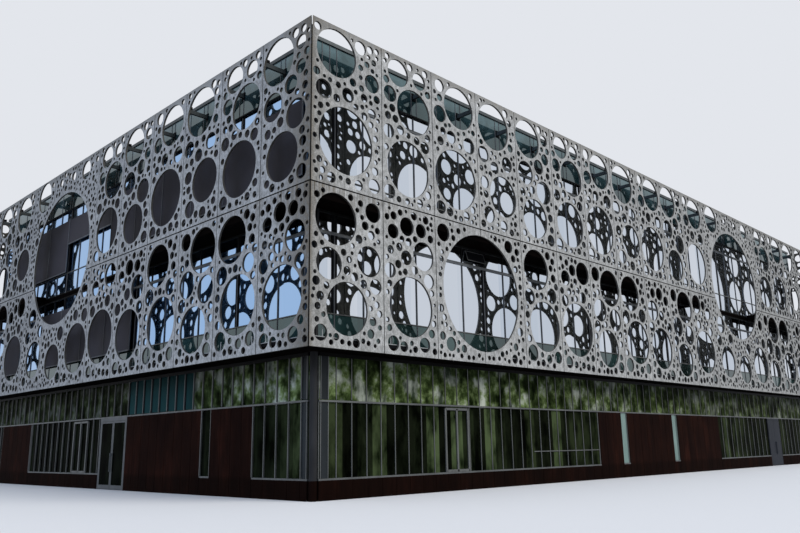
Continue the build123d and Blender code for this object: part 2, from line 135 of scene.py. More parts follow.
ahead = Vector((math.sin(YAW) * math.cos(PITCH), math.cos(YAW) * math.cos(PITCH), math.sin(PITCH)))
right = Vector((math.cos(YAW), -math.sin(YAW), 0))
down = ahead.cross(right)
leaning_right = math.cos(LEAN) * right + math.sin(LEAN) * down
leaning_down = math.cos(LEAN) * down - math.sin(LEAN) * right
camera = bpy.data.objects.new("camera", bpy.data.cameras.new("camera"))
scene.collection.objects.link(camera)
turn = Matrix((leaning_right, -leaning_down, -ahead)).transposed()
camera.matrix_world = Matrix.Translation(EYE) @ turn.to_4x4()
camera.data.lens, camera.data.sensor_width, camera.data.sensor_fit = LENS, SENSOR, "HORIZONTAL"
camera.data.clip_start, camera.data.clip_end = 0.01, 200
scene.camera = camera
print("camera at", [round(v, 3) for v in EYE])

# %% [markdown]
# Two helpers carry every finish. Colours are picked as sRGB hex values, as on a screen, and one
# function turns them to the linear values that light needs. The other adds a node with its
# settings and its inputs: an input that is another node's socket is linked, and any other value is
# set. A colour ramp also takes its stops. A Mix node of colours has its factor at input 0, its two
# colours at 6 and 7, and their mix at output 2.

# %% Helpers for materials


def linear(code):
    """An sRGB hex colour as linear RGBA."""
    srgb = np.array([int(code[i:i + 2], 16) for i in (1, 3, 5)]) / 255
    flat = np.where(srgb <= 0.04045, srgb / 12.92, ((srgb + 0.055) / 1.055) ** 2.4)
    return (*(float(v) for v in flat), 1.0)


def add_node(tree, kind, inputs=None, stops=(), **settings):
    """One node with its settings, its inputs (a socket is linked, a value is set) and a ramp's stops."""
    node = tree.nodes.new("ShaderNode" + kind)
    for name, value in settings.items():
        setattr(node, name, value)
    for socket, value in (inputs or {}).items():
        if isinstance(value, bpy.types.NodeSocket):
            tree.links.new(value, node.inputs[socket])
        else:
            node.inputs[socket].default_value = value
    for _ in stops[2:]:
        node.color_ramp.elements.new(0.5)
    for number, (at, colour) in enumerate(stops):
        node.color_ramp.elements[number].position = at
        node.color_ramp.elements[number].color = linear(colour)
    return node


def new_finish(name, **shader):
    """A material with one Principled shader, whose sockets take plain values, and Object coordinates."""
    material = bpy.data.materials.new(name)
    material.use_nodes = True
    tree = material.node_tree
    body = tree.nodes["Principled BSDF"]
    for socket, value in shader.items():
        body.inputs[socket.replace("_", " ")].default_value = value
    return material, tree, body, add_node(tree, "TexCoord").outputs["Object"]


def blotch(tree, place, size, detail=3.0, stretch=(1, 1, 1), rough=0.55):
    """Noise whose patches measure about size millimetres, stretched along an axis by less than one."""
    stretched = add_node(tree, "Mapping", {"Scale": stretch, "Vector": place}).outputs[0]
    noise = add_node(tree, "TexNoise", {"Scale": 1 / (size * MM), "Detail": detail, "Roughness": rough,
                                        "Vector": stretched})
    return noise.outputs["Fac"]


print("material helpers ready")

# %% [markdown]
# Precast concrete is cast flat in a steel mould, so it is smooth, matt and even, a light grey with
# a warm cast. What gives it away is weather: faint clouds half a metre wide, rain streaks that run
# down from a joint, soot along the top, and brown dirt at the near corner. Each of these is a share
# of stain, the product of a noise and of fades along an axis, and a row of a table gives each layer
# its tint and its fades. By the corner on the short side the stain is part dirt and part painted
# shade of the holes' reveals. The far ends of both walls are painted a little darker, as shade. The
# grain of sand is finer than a pixel here, so it is drawn about four times too coarse. The walls of
# the holes are painted darker, as shade in the reveals, and the panels' backs are painted darker and
# browner again, as shade behind the screen.

# %% Concrete of the screen
RAIN_RUN, CORNER_RAIN, SOOT_RUN, CORNER_DIRT = 75, 300, 26, 80
EDGE_X, EDGE_Y = 9, 90
RAIN_ABOVE_JOINT, RAIN_FAR_OFF = 0.25, 0.2
FRONT_SHADE_START, SIDE_SHADE_START, FAR_SHADE = 700, 400, 0.3
FADE = ("Value", "From Min", "From Max", "To Min", "To Max")


def precast_concrete(name, light, dark, stain):
    """One cloudy grey, then layers of stain and painted shade, each by the product of its fades, then grain
    and mottle.
    """
    material, tree, body, place = new_finish(name, Roughness=0.86, IOR=1.5)
    clouds = blotch(tree, place, 38, 4.0)
    streaks = blotch(tree, place, 7, 3.0, stretch=(1, 1, 0.07))
    grain = blotch(tree, place, 1.1, 2.0)
    mottle = blotch(tree, place, 5.0, 4.0, stretch=(1, 1, 0.6), rough=0.65)
    axes = add_node(tree, "SeparateXYZ", {"Vector": place}).outputs
    from_corner = add_node(tree, "Math", {0: axes["X"], 1: axes["Y"]}).outputs[0]
    corner_at = NEAR_X + NEAR_Y
    layers = (
        (stain, (streaks, 0.44, 0.60, 0.0, 1.0),
         (axes["Z"], (MID_JOINT - RAIN_RUN) * MM, MID_JOINT * MM, 0.0, 1.0),
         (axes["Z"], MID_JOINT * MM, (MID_JOINT + 2) * MM, 1.0, RAIN_ABOVE_JOINT),
         (axes["X"], NEAR_X * MM, (NEAR_X + CORNER_RAIN) * MM, 1.0, RAIN_FAR_OFF),
         (axes["Y"], NEAR_Y * MM, (NEAR_Y + CORNER_RAIN) * MM, 1.0, RAIN_FAR_OFF)),
        (stain, (axes["Z"], (SCREEN_TOP - SOOT_RUN) * MM, SCREEN_TOP * MM, 0.0, 0.75),
         (mottle, 0.34, 0.62, 0.0, 1.0)),
        # By the corner, mostly on the short side: part dirt, part painted shade of the holes' reveals.
        (stain, (mottle, 0.36, 0.52, 0.0, 1.0), (axes["X"], NEAR_X * MM, (NEAR_X + EDGE_X) * MM, 0.95, 0.0),
         (axes["Y"], NEAR_Y * MM, (NEAR_Y + EDGE_Y) * MM, 0.95, 0.0)),
        (stain, (from_corner, corner_at * MM, (corner_at + CORNER_DIRT) * MM, 0.36, 0.0)),
        # Painted shade: the far ends of both walls are mixed towards black.
        ("#000000", (axes["X"], (NEAR_X + FRONT_SHADE_START) * MM, FAR_X * MM, 0.0, FAR_SHADE)),
        ("#000000", (axes["Y"], (NEAR_Y + SIDE_SHADE_START) * MM, FAR_Y * MM, 0.0, FAR_SHADE)),
    )
    colour = add_node(tree, "ValToRGB", {"Fac": clouds}, ((0.30, dark), (0.68, light))).outputs[0]
    for tint, *fades in layers:
        total = 1.0
        for fade in fades:
            share = add_node(tree, "MapRange", dict(zip(FADE, fade))).outputs[0]
            total = add_node(tree, "Math", {0: total, 1: share}, operation="MULTIPLY").outputs[0]
        colour = add_node(tree, "Mix", {0: total, 6: colour, 7: linear(tint)}, data_type="RGBA").outputs[2]
    for noise, low in ((grain, "#cdcdcd"), (mottle, "#c3c3c1")):
        shade = add_node(tree, "ValToRGB", {"Fac": noise}, ((0.35, low), (0.62, "#ffffff"))).outputs[0]
        colour = add_node(tree, "Mix", {0: 1.0, 6: colour, 7: shade}, data_type="RGBA",
                          blend_type="MULTIPLY").outputs[2]
    sand = add_node(tree, "Bump", {"Strength": 0.35, "Distance": 0.15 * MM, "Height": grain})
    tree.links.new(colour, body.inputs["Base Color"])
    tree.links.new(sand.outputs[0], body.inputs["Normal"])
    return material


screen_face = precast_concrete("precast_concrete", "#cfd1d0", "#b7b9b9", "#736a5a")
# The reveal and back finishes are darker as painted shade: in the walls of the holes and behind the screen.
screen_reveal = precast_concrete("precast_concrete_painted_shade_reveal", "#5b5953", "#4c4a45", "#38342e")
screen_back = precast_concrete("precast_concrete_painted_shade_back", "#6a655a", "#59554b", "#46423a")
print("concrete finishes: 3")

# %% [markdown]
# The glass comes in three kinds. Solar-control glass upstairs has a thin metal coat, so by day it
# is a mirror that shows the pale surround and the back of the screen; on the short sides its tint
# is bluer, as in the picture, a painted reflection. No two panes are set quite alike, so each is
# tilted by a few thousandths of its size: the pane's number, worked out from its place, seeds a
# chance that leans its normal.

# %% Coated glass of the upper storeys
STOREY_STEP = 0.25


def pane_tilt(tree, place, body, pitch, tilt):
    """Adds tilt * (chance - 1/2) to the normal, with one chance for each pane of a pitch in millimetres."""
    step = (pitch * MM, pitch * MM, STOREY_STEP)
    steps = add_node(tree, "VectorMath", {0: place, 1: step}, operation="DIVIDE").outputs[0]
    pane = add_node(tree, "VectorMath", {0: steps}, operation="FLOOR").outputs[0]
    chance = add_node(tree, "TexWhiteNoise", {"Vector": pane}, noise_dimensions="3D").outputs
    middle = add_node(tree, "VectorMath", {0: chance["Color"], 1: (0.5, 0.5, 0.5)}, operation="SUBTRACT")
    small = add_node(tree, "VectorMath", {0: middle.outputs[0], "Scale": tilt}, operation="SCALE").outputs[0]
    normal = add_node(tree, "NewGeometry").outputs["Normal"]
    tilted = add_node(tree, "VectorMath", {0: normal, 1: small}, operation="ADD").outputs[0]
    level_normal = add_node(tree, "VectorMath", {0: tilted}, operation="NORMALIZE").outputs[0]
    tree.links.new(level_normal, body.inputs["Normal"])
    return chance["Value"]


def coated_glass(name, dim, bright):
    """Solar-control glass: a mirror coat over a dark room, each pane between two tints."""
    material, tree, body, place = new_finish(name, Metallic=1.0, Roughness=0.03)
    chance = pane_tilt(tree, place, body, BAY / 2, 0.012)
    tint = add_node(tree, "ValToRGB", {"Fac": chance}, ((0.0, dim), (1.0, bright)))
    tree.links.new(tint.outputs[0], body.inputs["Base Color"])
    return material


# The short sides get a bluer tint: a painted reflection, on glass that is the same all round.
mirror_glass = {"front": coated_glass("solar_control_glass", "#c9d2dc", "#e0e4e9"),
                "side": coated_glass("solar_control_glass_painted_blue_reflection", "#95bce8", "#accbee")}
print("coated glass finishes:", len(mirror_glass))

# %% [markdown]
# Clear double glazing on the ground floor reflects much less, and stands before an unlit hall.
# Below the transom each pane is one dark green, painted shade of the hall, and above it green and
# pale clouds of painted reflection run across the panes; both are painted darker away from the near
# corner, as shade. Spandrel glass is enamelled teal on its back and hides the floors; on the parapet
# it is greyer and paler towards the top, a painted reflection.

# %% Ground-floor glass and teal glass


def glazing_with_painted_light():
    """Double glazing: nearly black, painted shade of the unlit hall; green and pale painted reflection in the
    clerestory above.
    """
    material, tree, body, place = new_finish("double_glazing_painted_shade_and_reflection", Roughness=0.04, Specular_IOR_Level=0.003)
    chance = pane_tilt(tree, place, body, BAY / 4, 0.02)
    # Below the transom: one dark green a pane, painted shade of the unlit hall.
    low = add_node(tree, "ValToRGB", {"Fac": chance},
                   ((0.0, "#0d100a"), (0.5, "#1f2618"), (0.85, "#37412a"), (1.0, "#4e5c3e")))
    # Above the transom: green and pale clouds, painted reflection.
    cloud = blotch(tree, place, 34, 6.0, rough=0.6)
    high = add_node(tree, "ValToRGB", {"Fac": cloud},
                    ((0.32, "#1e2712"), (0.44, "#40502b"), (0.52, "#758857"), (0.62, "#bbc3b6")))
    axes = add_node(tree, "SeparateXYZ", {"Vector": place}).outputs
    shade = low.outputs[0]
    # The painted reflection goes above the transom, then painted shade darkens the glass away from the near
    # corner along Y and X.
    for axis, start, end, most, over in (("Z", TRANSOM - 1, TRANSOM, 1.0, high.outputs[0]),
                                         ("Y", NEAR_Y + 60, NEAR_Y + 700, 0.75, linear("#040604")),
                                         ("X", NEAR_X + 500, NEAR_X + 1500, 0.5, linear("#141903"))):
        share = add_node(tree, "MapRange", {"Value": axes[axis], "From Min": start * MM, "From Max": end * MM,
                                            "To Max": most})
        shade = add_node(tree, "Mix", {0: share.outputs[0], 6: shade, 7: over}, data_type="RGBA").outputs[2]
    # Tall clouds darken the glass in patches, part of the painted reflection.
    depth = add_node(tree, "ValToRGB", {"Fac": blotch(tree, place, 26, 5.0, stretch=(1, 1, 0.45))},
                     ((0.36, "#4e584c"), (0.62, "#ffffff")))
    shade = add_node(tree, "Mix", {0: 1.0, 6: shade, 7: depth.outputs[0]}, data_type="RGBA",
                     blend_type="MULTIPLY")
    tree.links.new(shade.outputs[2], body.inputs["Base Color"])
    return material


def spandrel_glass():
    """Toughened glass enamelled teal on its back: deep below; on the parapet greyer and paler towards the
    top, a painted reflection.
    """
    material, tree, body, place = new_finish("enamelled_spandrel_glass", Roughness=0.03, IOR=1.7,
                                             Specular_IOR_Level=0.8, Specular_Tint=linear("#d2ece9"))
    chance = pane_tilt(tree, place, body, BAY / 2, 0.012)
    height = add_node(tree, "SeparateXYZ", {"Vector": place}).outputs["Z"]
    deep = add_node(tree, "ValToRGB", {"Fac": chance},
                    ((0.0, "#121b1b"), (0.5, "#1c2c2b"), (0.85, "#284040"), (1.0, "#3a5453")))
    # On the parapet a ramp rising to the top, plus clouds, paints a reflection that is paler above.
    rise = add_node(tree, "MapRange", {"Value": height, "From Min": (ROOF_TOP - 15) * MM,
                                       "From Max": ROOF_EDGE * MM, "To Min": -0.25, "To Max": 0.35})
    parapet_painted_reflection = add_node(tree, "Math", {0: rise.outputs[0], 1: blotch(tree, place, 30, 4.0)}, operation="ADD")
    pale = add_node(tree, "ValToRGB", {"Fac": parapet_painted_reflection.outputs[0]},
                    ((0.25, "#14262a"), (0.55, "#263c41"), (0.85, "#4a636a")))
    upper = add_node(tree, "MapRange", {"Value": height, "From Min": SECOND_FLOOR * MM,
                                        "From Max": (SECOND_FLOOR + 1) * MM})
    colour = add_node(tree, "Mix", {0: upper.outputs[0], 6: deep.outputs[0], 7: pale.outputs[0]},
                      data_type="RGBA")
    tree.links.new(colour.outputs[2], body.inputs["Base Color"])
    return material


hall_glass = glazing_with_painted_light()
teal_glass = spandrel_glass()
print("clear and teal glass ready")

# %% [markdown]
# Metals. The bars are extruded aluminium, anodised to a grey satin that varies a little along a
# bar. Brackets are painted dark, and decks and soffit are nearly black, painted shade, so that they
# vanish behind the screen. The rails of the ground floor are pale up to the glass head and nearly
# black above it, painted shade.

# %% Metals and painted steel


def satin_metal(name, light, dark, roughness, metallic=1.0, wear=26, sheen=0.5):
    """An anodised or painted metal with a soft cloud of handling and weather."""
    material, tree, body, place = new_finish(name, Metallic=metallic, Roughness=roughness,
                                             Specular_IOR_Level=sheen)
    cloud = blotch(tree, place, wear, 3.0, stretch=(1, 1, 0.4))
    colour = add_node(tree, "ValToRGB", {"Fac": cloud}, ((0.32, dark), (0.66, light)))
    skin = blotch(tree, place, 1.4, 2.0)
    fine = add_node(tree, "Bump", {"Strength": 0.12, "Distance": 0.05 * MM, "Height": skin})
    tree.links.new(colour.outputs[0], body.inputs["Base Color"])
    tree.links.new(fine.outputs[0], body.inputs["Normal"])
    return material


def rail_with_painted_shade_head():
    """Anodised rails: one cloud read by a pale ramp up to the glass head and by a dark one above it, as
    painted shade.
    """
    material, tree, body, place = new_finish("anodised_rail_painted_shade_head", Metallic=0.6, Roughness=0.5,
                                             Specular_IOR_Level=0.1)
    cloud = blotch(tree, place, 26, 3.0, stretch=(1, 1, 0.4))
    height = add_node(tree, "SeparateXYZ", {"Vector": place}).outputs["Z"]
    pale, dark = (add_node(tree, "ValToRGB", {"Fac": cloud}, ((0.32, low), (0.66, high))).outputs[0]
                  for low, high in (("#585a5a", "#686a6a"), ("#070606", "#0c0b0a")))
    # Above the glass head the rail is nearly black: painted shade.
    above = add_node(tree, "MapRange", {"Value": height, "From Min": (TRANSOM + 20) * MM,
                                        "From Max": (TRANSOM + 21) * MM})
    colour = add_node(tree, "Mix", {0: above.outputs[0], 6: pale, 7: dark}, data_type="RGBA")
    tree.links.new(colour.outputs[2], body.inputs["Base Color"])
    return material


door_metal = satin_metal("brushed_aluminium_door", "#575b5e", "#4a4e51", 0.5, metallic=0.6)
bar_metal = satin_metal("anodised_aluminium", "#666867", "#555756", 0.5, metallic=0.6)
dark_bar = satin_metal("dark_anodised_aluminium", "#5c5f62", "#4a4d50", 0.5, metallic=0.2, sheen=0.3)
# Black: the own colour of the bars at the floors, and painted shade on the uprights' heads.
black_bar = satin_metal("black_anodised_aluminium_and_painted_shade", "#1b1c1c", "#111212", 0.6, metallic=0.0, sheen=0.06)
light_rail = satin_metal("clear_anodised_aluminium", "#6b6f72", "#5a5e61", 0.45, metallic=0.7)
cap_metal = satin_metal("grey_folded_aluminium", "#4a5052", "#3a4042", 0.45, metallic=0.6)
angle_steel = satin_metal("galvanised_angle", "#a0a4a5", "#868a8b", 0.6, metallic=0.3)
# Black paint of the posts, plates and cleats. It also serves as painted shade on the angle's leg, the vent
# pane and the strips beside the teal lights.
black_steel_and_shade = satin_metal("black_steel_and_painted_shade", "#141518", "#0d0e10", 0.7, metallic=0.0, sheen=0.03)
beam_steel = satin_metal("teal_grey_painted_steel", "#343b3e", "#272d30", 0.6, metallic=0.0, sheen=0.2)
column_metal = satin_metal("graphite_painted_steel", "#2d2e30", "#232426", 0.55, metallic=0.0, sheen=0.1)
grey_paint = satin_metal("grey_painted_door", "#2c2f36", "#24272d", 0.6, metallic=0.0, sheen=0.08)
wall_rail = rail_with_painted_shade_head()
print("metal finishes: 12")

# %% [markdown]
# Boards, enamelled panes and rubber are even coats too, so the same recipe serves them with no
# metal in it. The brown sheets are coated steel with a rust-like cloud, short streaks and a darker
# tone below the sill. The blinds are cloth woven of glass fibre, and the roof is felt laid in strips.

# %% Cladding, cloth, roof and coated boards
THREAD_PITCH = 0.9
FELT_STRIP, LAP_HALF, LAP_EDGE = 50, 0.3, 0.9


def brown_sheet():
    """Coated steel sheet, dark red-brown, with clouds and short vertical streaks."""
    material, tree, body, place = new_finish("brown_coated_steel", Roughness=0.8, Specular_IOR_Level=0.02)
    cloud = blotch(tree, place, 34, 4.0, stretch=(1, 1, 0.35))
    streak = blotch(tree, place, 5, 3.0, stretch=(1, 1, 0.08))
    colour = add_node(tree, "ValToRGB", {"Fac": cloud},
                      ((0.30, "#170c0a"), (0.55, "#20110d"), (0.75, "#2e1812")))
    runs = add_node(tree, "ValToRGB", {"Fac": streak}, ((0.35, "#dedad7"), (0.62, "#ffffff")))
    colour = add_node(tree, "Mix", {0: 1.0, 6: colour.outputs[0], 7: runs.outputs[0]}, data_type="RGBA",
                      blend_type="MULTIPLY")
    height = add_node(tree, "SeparateXYZ", {"Vector": place}).outputs["Z"]
    # Everything below the sill is mixed half way to near black.
    darker_below_sill = add_node(tree, "MapRange", {"Value": height, "From Min": (SILL - 2) * MM,
                                        "From Max": (SILL + 6) * MM, "To Min": 0.5, "To Max": 0.0})
    colour = add_node(tree, "Mix", {0: darker_below_sill.outputs[0], 6: colour.outputs[2], 7: linear("#050302")},
                      data_type="RGBA")
    bump = add_node(tree, "Bump", {"Strength": 0.15, "Distance": 0.08 * MM, "Height": streak})
    tree.links.new(colour.outputs[2], body.inputs["Base Color"])
    tree.links.new(bump.outputs[0], body.inputs["Normal"])
    return material


def blind_cloth():
    """Glass-fibre screen cloth of outdoor blinds: charcoal, with a fine square weave."""
    material, tree, body, place = new_finish("charcoal_screen_cloth", Roughness=0.8)
    cloud = add_node(tree, "ValToRGB", {"Fac": blotch(tree, place, 60, 2.0)},
                     ((0.3, "#211f28"), (0.7, "#29272f")))
    squares = add_node(tree, "TexChecker", {"Scale": 1 / (THREAD_PITCH * MM), "Vector": place}).outputs["Fac"]
    weave = add_node(tree, "ValToRGB", {"Fac": squares}, ((0.0, "#e0e0e0"), (1.0, "#ffffff")))
    colour = add_node(tree, "Mix", {0: 1.0, 6: cloud.outputs[0], 7: weave.outputs[0]}, data_type="RGBA",
                      blend_type="MULTIPLY")
    tree.links.new(colour.outputs[2], body.inputs["Base Color"])
    return material


def roof_felt():
    """Grey mineral felt in strips a metre wide, each lap drawn as a darker line three times too wide."""
    material, tree, body, place = new_finish("mineral_roofing_felt", Roughness=0.93)
    grit = blotch(tree, place, 2.0, 3.0)
    cloud = blotch(tree, place, 120, 4.0)
    base, stone = (add_node(tree, "ValToRGB", {"Fac": noise}, ((0.3, low), (0.7, high))).outputs[0]
                   for noise, low, high in ((cloud, "#5d5f60", "#6d6f70"), (grit, "#d8d8d8", "#ffffff")))
    colour = add_node(tree, "Mix", {0: 1.0, 6: base, 7: stone}, data_type="RGBA", blend_type="MULTIPLY")
    across = add_node(tree, "SeparateXYZ", {"Vector": place}).outputs["Y"]
    from_lap = add_node(tree, "Math", {0: across, 1: FELT_STRIP / 2 * MM}, operation="PINGPONG")
    lap = add_node(tree, "MapRange", {"Value": from_lap.outputs[0], "From Min": LAP_HALF * MM,
                                      "From Max": LAP_EDGE * MM, "To Min": 0.5, "To Max": 0.0})
    colour = add_node(tree, "Mix", {0: lap.outputs[0], 6: colour.outputs[2], 7: linear("#35373a")},
                      data_type="RGBA")
    bump = add_node(tree, "Bump", {"Strength": 0.4, "Distance": 0.3 * MM, "Height": grit})
    tree.links.new(colour.outputs[2], body.inputs["Base Color"])
    tree.links.new(bump.outputs[0], body.inputs["Normal"])
    return material


brown_steel, screen_cloth, felt = brown_sheet(), blind_cloth(), roof_felt()
# Nearly black: painted shade on the undersides of the floors and decks.
painted_shade_soffit = satin_metal("soffit_board_painted_shade", "#0b0807", "#070505", 0.8, metallic=0.0, wear=90,
                           sheen=0.005)
pale_pane = satin_metal("pale_green_glass", "#78928c", "#5f7a74", 0.15, metallic=0.0, wear=40, sheen=0.3)
teal_board = satin_metal("enamelled_teal_board", "#193b3c", "#132f30", 0.4, metallic=0.0, wear=60, sheen=0.01)
# The corner panes' grey stands for their reflection and the dark behind them: painted reflection and shade.
corner_pane = satin_metal("grey_glass_painted_reflection_and_shade", "#282d30", "#1d2123", 0.4, metallic=0.0, wear=50, sheen=0.1)
seal_rubber = satin_metal("weathered_joint_seal", "#262421", "#1b1918", 0.8, metallic=0.0, sheen=0.1)
print("cladding, cloth, roof and board finishes ready")

# %% [markdown]
# Two makers of meshes follow. One puts arrays of points and faces into a piece, and makes it ride
# on its body. The other is a bar: a rectangle with small flats on its corners, carried along its
# length and drawn in a little at both ends, as an extrusion with eased edges. It makes hundreds of
# bars as one array, because a wall of windows is the same bar over and over.

# %% Mesh makers


def make_piece(name, points, faces, materials, marks=None, smooth=0.0):
    """A mesh from an array of points and a list of face arrays, one array for each count of corners."""
    mesh = bpy.data.meshes.new(name)
    counts = np.concatenate([np.full(len(f), f.shape[1]) for f in faces])
    corners = np.concatenate([f.ravel() for f in faces])
    mesh.vertices.add(len(points))
    mesh.vertices.foreach_set("co", np.asarray(points, np.float32).ravel())
    mesh.loops.add(len(corners))
    mesh.loops.foreach_set("vertex_index", corners.astype(np.int32))
    mesh.polygons.add(len(counts))
    starts = np.concatenate([[0], np.cumsum(counts)[:-1]])
    mesh.polygons.foreach_set("loop_start", starts.astype(np.int32))
    if marks is not None:
        mesh.polygons.foreach_set("material_index", np.asarray(marks, np.int32))
    mesh.update(calc_edges=True)
    if smooth:
        mesh.shade_smooth()
        mesh.set_sharp_from_angle(angle=math.radians(smooth))
    else:
        mesh.shade_flat()
    for material in materials:
        mesh.materials.append(material)
    piece = bpy.data.objects.new(name, mesh)
    scene.collection.objects.link(piece)
    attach(piece, "building")
    return piece


def eased_section(half_p, half_q, ease):
    """Eight points round a rectangle whose corners are cut by ease. Halves are arrays of one length."""
    signs = np.array([(1, 1, 0), (1, 1, 1), (-1, 1, 1), (-1, 1, 0),
                      (-1, -1, 0), (-1, -1, 1), (1, -1, 1), (1, -1, 0)])
    p = signs[:, 0] * (half_p[:, None] - ease * signs[:, 2])
    q = signs[:, 1] * (half_q[:, None] - ease * (1 - signs[:, 2]))
    return np.stack([p, q], -1)


AXES = {"up": (0, 1, 2), "along": (1, 2, 0), "deep": (2, 0, 1)}


def bars(face, boxes, run, ease=0.3):
    """Points and faces of bars given as rows of (along0, along1, deep0, deep1, up0, up1)."""
    boxes = np.asarray(boxes, float).reshape(-1, 3, 2)
    middle, half = boxes.mean(2), (boxes[:, :, 1] - boxes[:, :, 0]) / 2
    p_axis, q_axis, run_axis = AXES[run]
    flat = np.minimum(ease, 0.45 * np.minimum(half[:, p_axis], half[:, q_axis]).min())
    rings = []
    for inset, side in ((flat, -1), (0.0, -1), (0.0, 1), (flat, 1)):
        section = eased_section(half[:, p_axis] - inset, half[:, q_axis] - inset, flat)
        ring = np.zeros((len(boxes), 8, 3))
        ring[:, :, p_axis] = section[:, :, 0] + middle[:, None, p_axis]
        ring[:, :, q_axis] = section[:, :, 1] + middle[:, None, q_axis]
        ring[:, :, run_axis] = (middle[:, run_axis] + side * (half[:, run_axis] - (flat - inset)))[:, None]
        rings.append(ring)
    local = np.stack(rings, 1).reshape(-1, 3)
    points = spots(face, local[:, 0], local[:, 1], local[:, 2])
    ring_start = (np.arange(len(boxes))[:, None] * 32 + np.arange(3) * 8)[..., None]
    turn = np.arange(8)
    quads = np.stack([ring_start + turn, ring_start + (turn + 1) % 8, ring_start + (turn + 1) % 8 + 8,
                      ring_start + turn + 8], -1).reshape(-1, 4)
    caps = np.concatenate([np.arange(len(boxes))[:, None] * 32 + turn[::-1],
                           np.arange(len(boxes))[:, None] * 32 + 24 + turn])
    if face in TURNED:
        quads, caps = quads[:, ::-1], caps[:, ::-1]
    return points, quads, caps


def bar_piece(name, groups, material):
    """One piece from several (face, boxes, run) groups of bars."""
    all_points, all_quads, all_caps, count = [], [], [], 0
    for face, boxes, run in groups:
        if len(boxes) == 0:
            continue
        points, quads, caps = bars(face, boxes, run)
        all_points.append(points)
        all_quads.append(quads + count)
        all_caps.append(caps + count)
        count += len(points)
    faces = [np.concatenate(all_quads), np.concatenate(all_caps)]
    piece = make_piece(name, np.concatenate(all_points), faces, [material])
    print(f"{name}: {len(piece.data.polygons)} faces")
    return piece


def standing(places, half, deep, span):
    """Rows for upright bars: half to either side of each place, over one stretch of depth and of height."""
    return [(place - half, place + half, *deep, *span) for place in places]


def lying(ends, deep, heights):
    """Rows for level bars between two ends, from pairs of a foot and a thickness."""
    return [(*ends, *deep, foot, foot + thick) for foot, thick in heights]


noted = {}


def add_bars(name, face, rows, run="up"):
    """Notes some bars of a face for one piece."""
    noted.setdefault(name, []).append((face, rows, run))


def make_bars(slot, **finishes):
    """Makes pieces of the noted bars, each in its finish."""
    for name, material in finishes.items():
        bar_piece(name, noted[name], material)


print("mesh makers ready")

# %% [markdown]
# The screen is the building's face. Each precast panel repeats one of a few moulds, so the main
# holes of a mould are a short list measured off the picture, in hundredths of a bay. The small
# holes between them are too many to list, and only their sizes and spacing are seen. They are
# packed by dropping circles at random from a fixed seed, and keeping each one that leaves a web of
# concrete round it.

# %% Moulds of the screen: across, up and radius of each hole, in hundredths of a bay
UPPER_MOULDS = {
    "A": ((41, 181, 33), (57, 65, 45), (82, 204, 10), (102, 159, 13), (20, 125, 13), (60, 129, 10),
          (105, 16, 10), (78, 11, 7), (33, 11, 7), (102, 116, 7), (88, 134, 6)),
    "B": ((32, 193, 20), (74, 194, 13), (62, 143, 33), (16, 157, 12), (13, 102, 10), (49, 56, 40),
          (83, 96, 9), (35, 109, 7), (13, 16, 10), (88, 27, 6), (71, 12, 6), (20, 137, 6)),
    "C": ((18, 204, 10), (60, 180, 33), (17, 159, 13), (41, 129, 10), (81, 126, 13), (49, 65, 45),
          (14, 16, 10), (33, 13, 7), (70, 14, 7), (17, 117, 7), (23, 134, 6)),
    "D": ((43, 175, 38), (76, 208, 7), (15, 123, 13), (74, 120, 13), (42, 107, 10), (16, 78, 10),
          (61, 64, 33), (24, 28, 13), (59, 16, 9), (85, 151, 7), (9, 11, 6), (18, 59, 6)),
    "E": ((34, 181, 33), (70, 208, 7), (82, 191, 10), (82, 157, 10), (62, 139, 13), (24, 120, 20),
          (73, 96, 20), (45, 46, 33), (86, 16, 10), (14, 85, 7), (41, 94, 7), (88, 55, 7)),
    "X": ((57, 194, 18), (12, 203, 6), (30, 197, 5)),
    "Y": ((12, 197, 9), (30, 202, 6), (44, 194, 5), (70, 198, 8)),
    "Z": ((50, 187, 31), (13, 205, 6), (9, 187, 5), (58, 129, 13), (72, 99, 9)),
}
LOWER_MOULDS = {
    "A": ((41, 158, 33), (102, 178, 13), (30, 101, 20), (95, 113, 20), (59, 49, 33), (106, 82, 10),
          (18, 17, 10), (97, 22, 6), (78, 139, 6), (99, 148, 6)),
    "N": ((35, 158, 33), (81, 178, 13), (24, 101, 20), (73, 114, 20), (53, 48, 33), (85, 85, 10),
          (15, 17, 10), (9, 59, 6), (76, 146, 6)),
    "B": ((44, 172, 13), (71, 171, 10), (81, 188, 6), (18, 161, 10), (75, 136, 20), (42, 129, 10),
          (12, 108, 10), (85, 103, 10), (50, 64, 40), (16, 14, 10), (74, 16, 10), (88, 32, 6), (35, 11, 7)),
    "E": ((38, 158, 33), (72, 186, 7), (85, 150, 7), (17, 112, 13), (78, 120, 13), (55, 68, 40),
          (18, 24, 13), (86, 21, 10), (11, 46, 6), (61, 17, 7)),
    "F": ((24, 172, 20), (56, 173, 10), (78, 157, 13), (28, 129, 10), (83, 118, 10), (69, 135, 6),
          (49, 72, 45), (9, 117, 6), (82, 16, 10), (25, 11, 6), (62, 13, 6), (9, 27, 6)),
    "G": ((23, 161, 13), (16, 117, 12), (52, 121, 10), (45, 63, 43), (80, 14, 8), (14, 16, 6), (31, 132, 5)),
    "H": ((15, 96, 13), (44, 47, 32), (12, 16, 10), (6, 53, 4), (78, 79, 6)),
    "I": ((13, 111, 12), (57, 140, 19), (74, 104, 12), (37, 59, 35), (8, 20, 6), (74, 20, 9), (64, 175, 9)),
    "P": ((17, 178, 13), (27, 22, 10), (10, 32, 6)),
    "Q": ((67, 183, 10), (88, 178, 6), (78, 166, 6), (87, 53, 7), (70, 11, 7)),
}
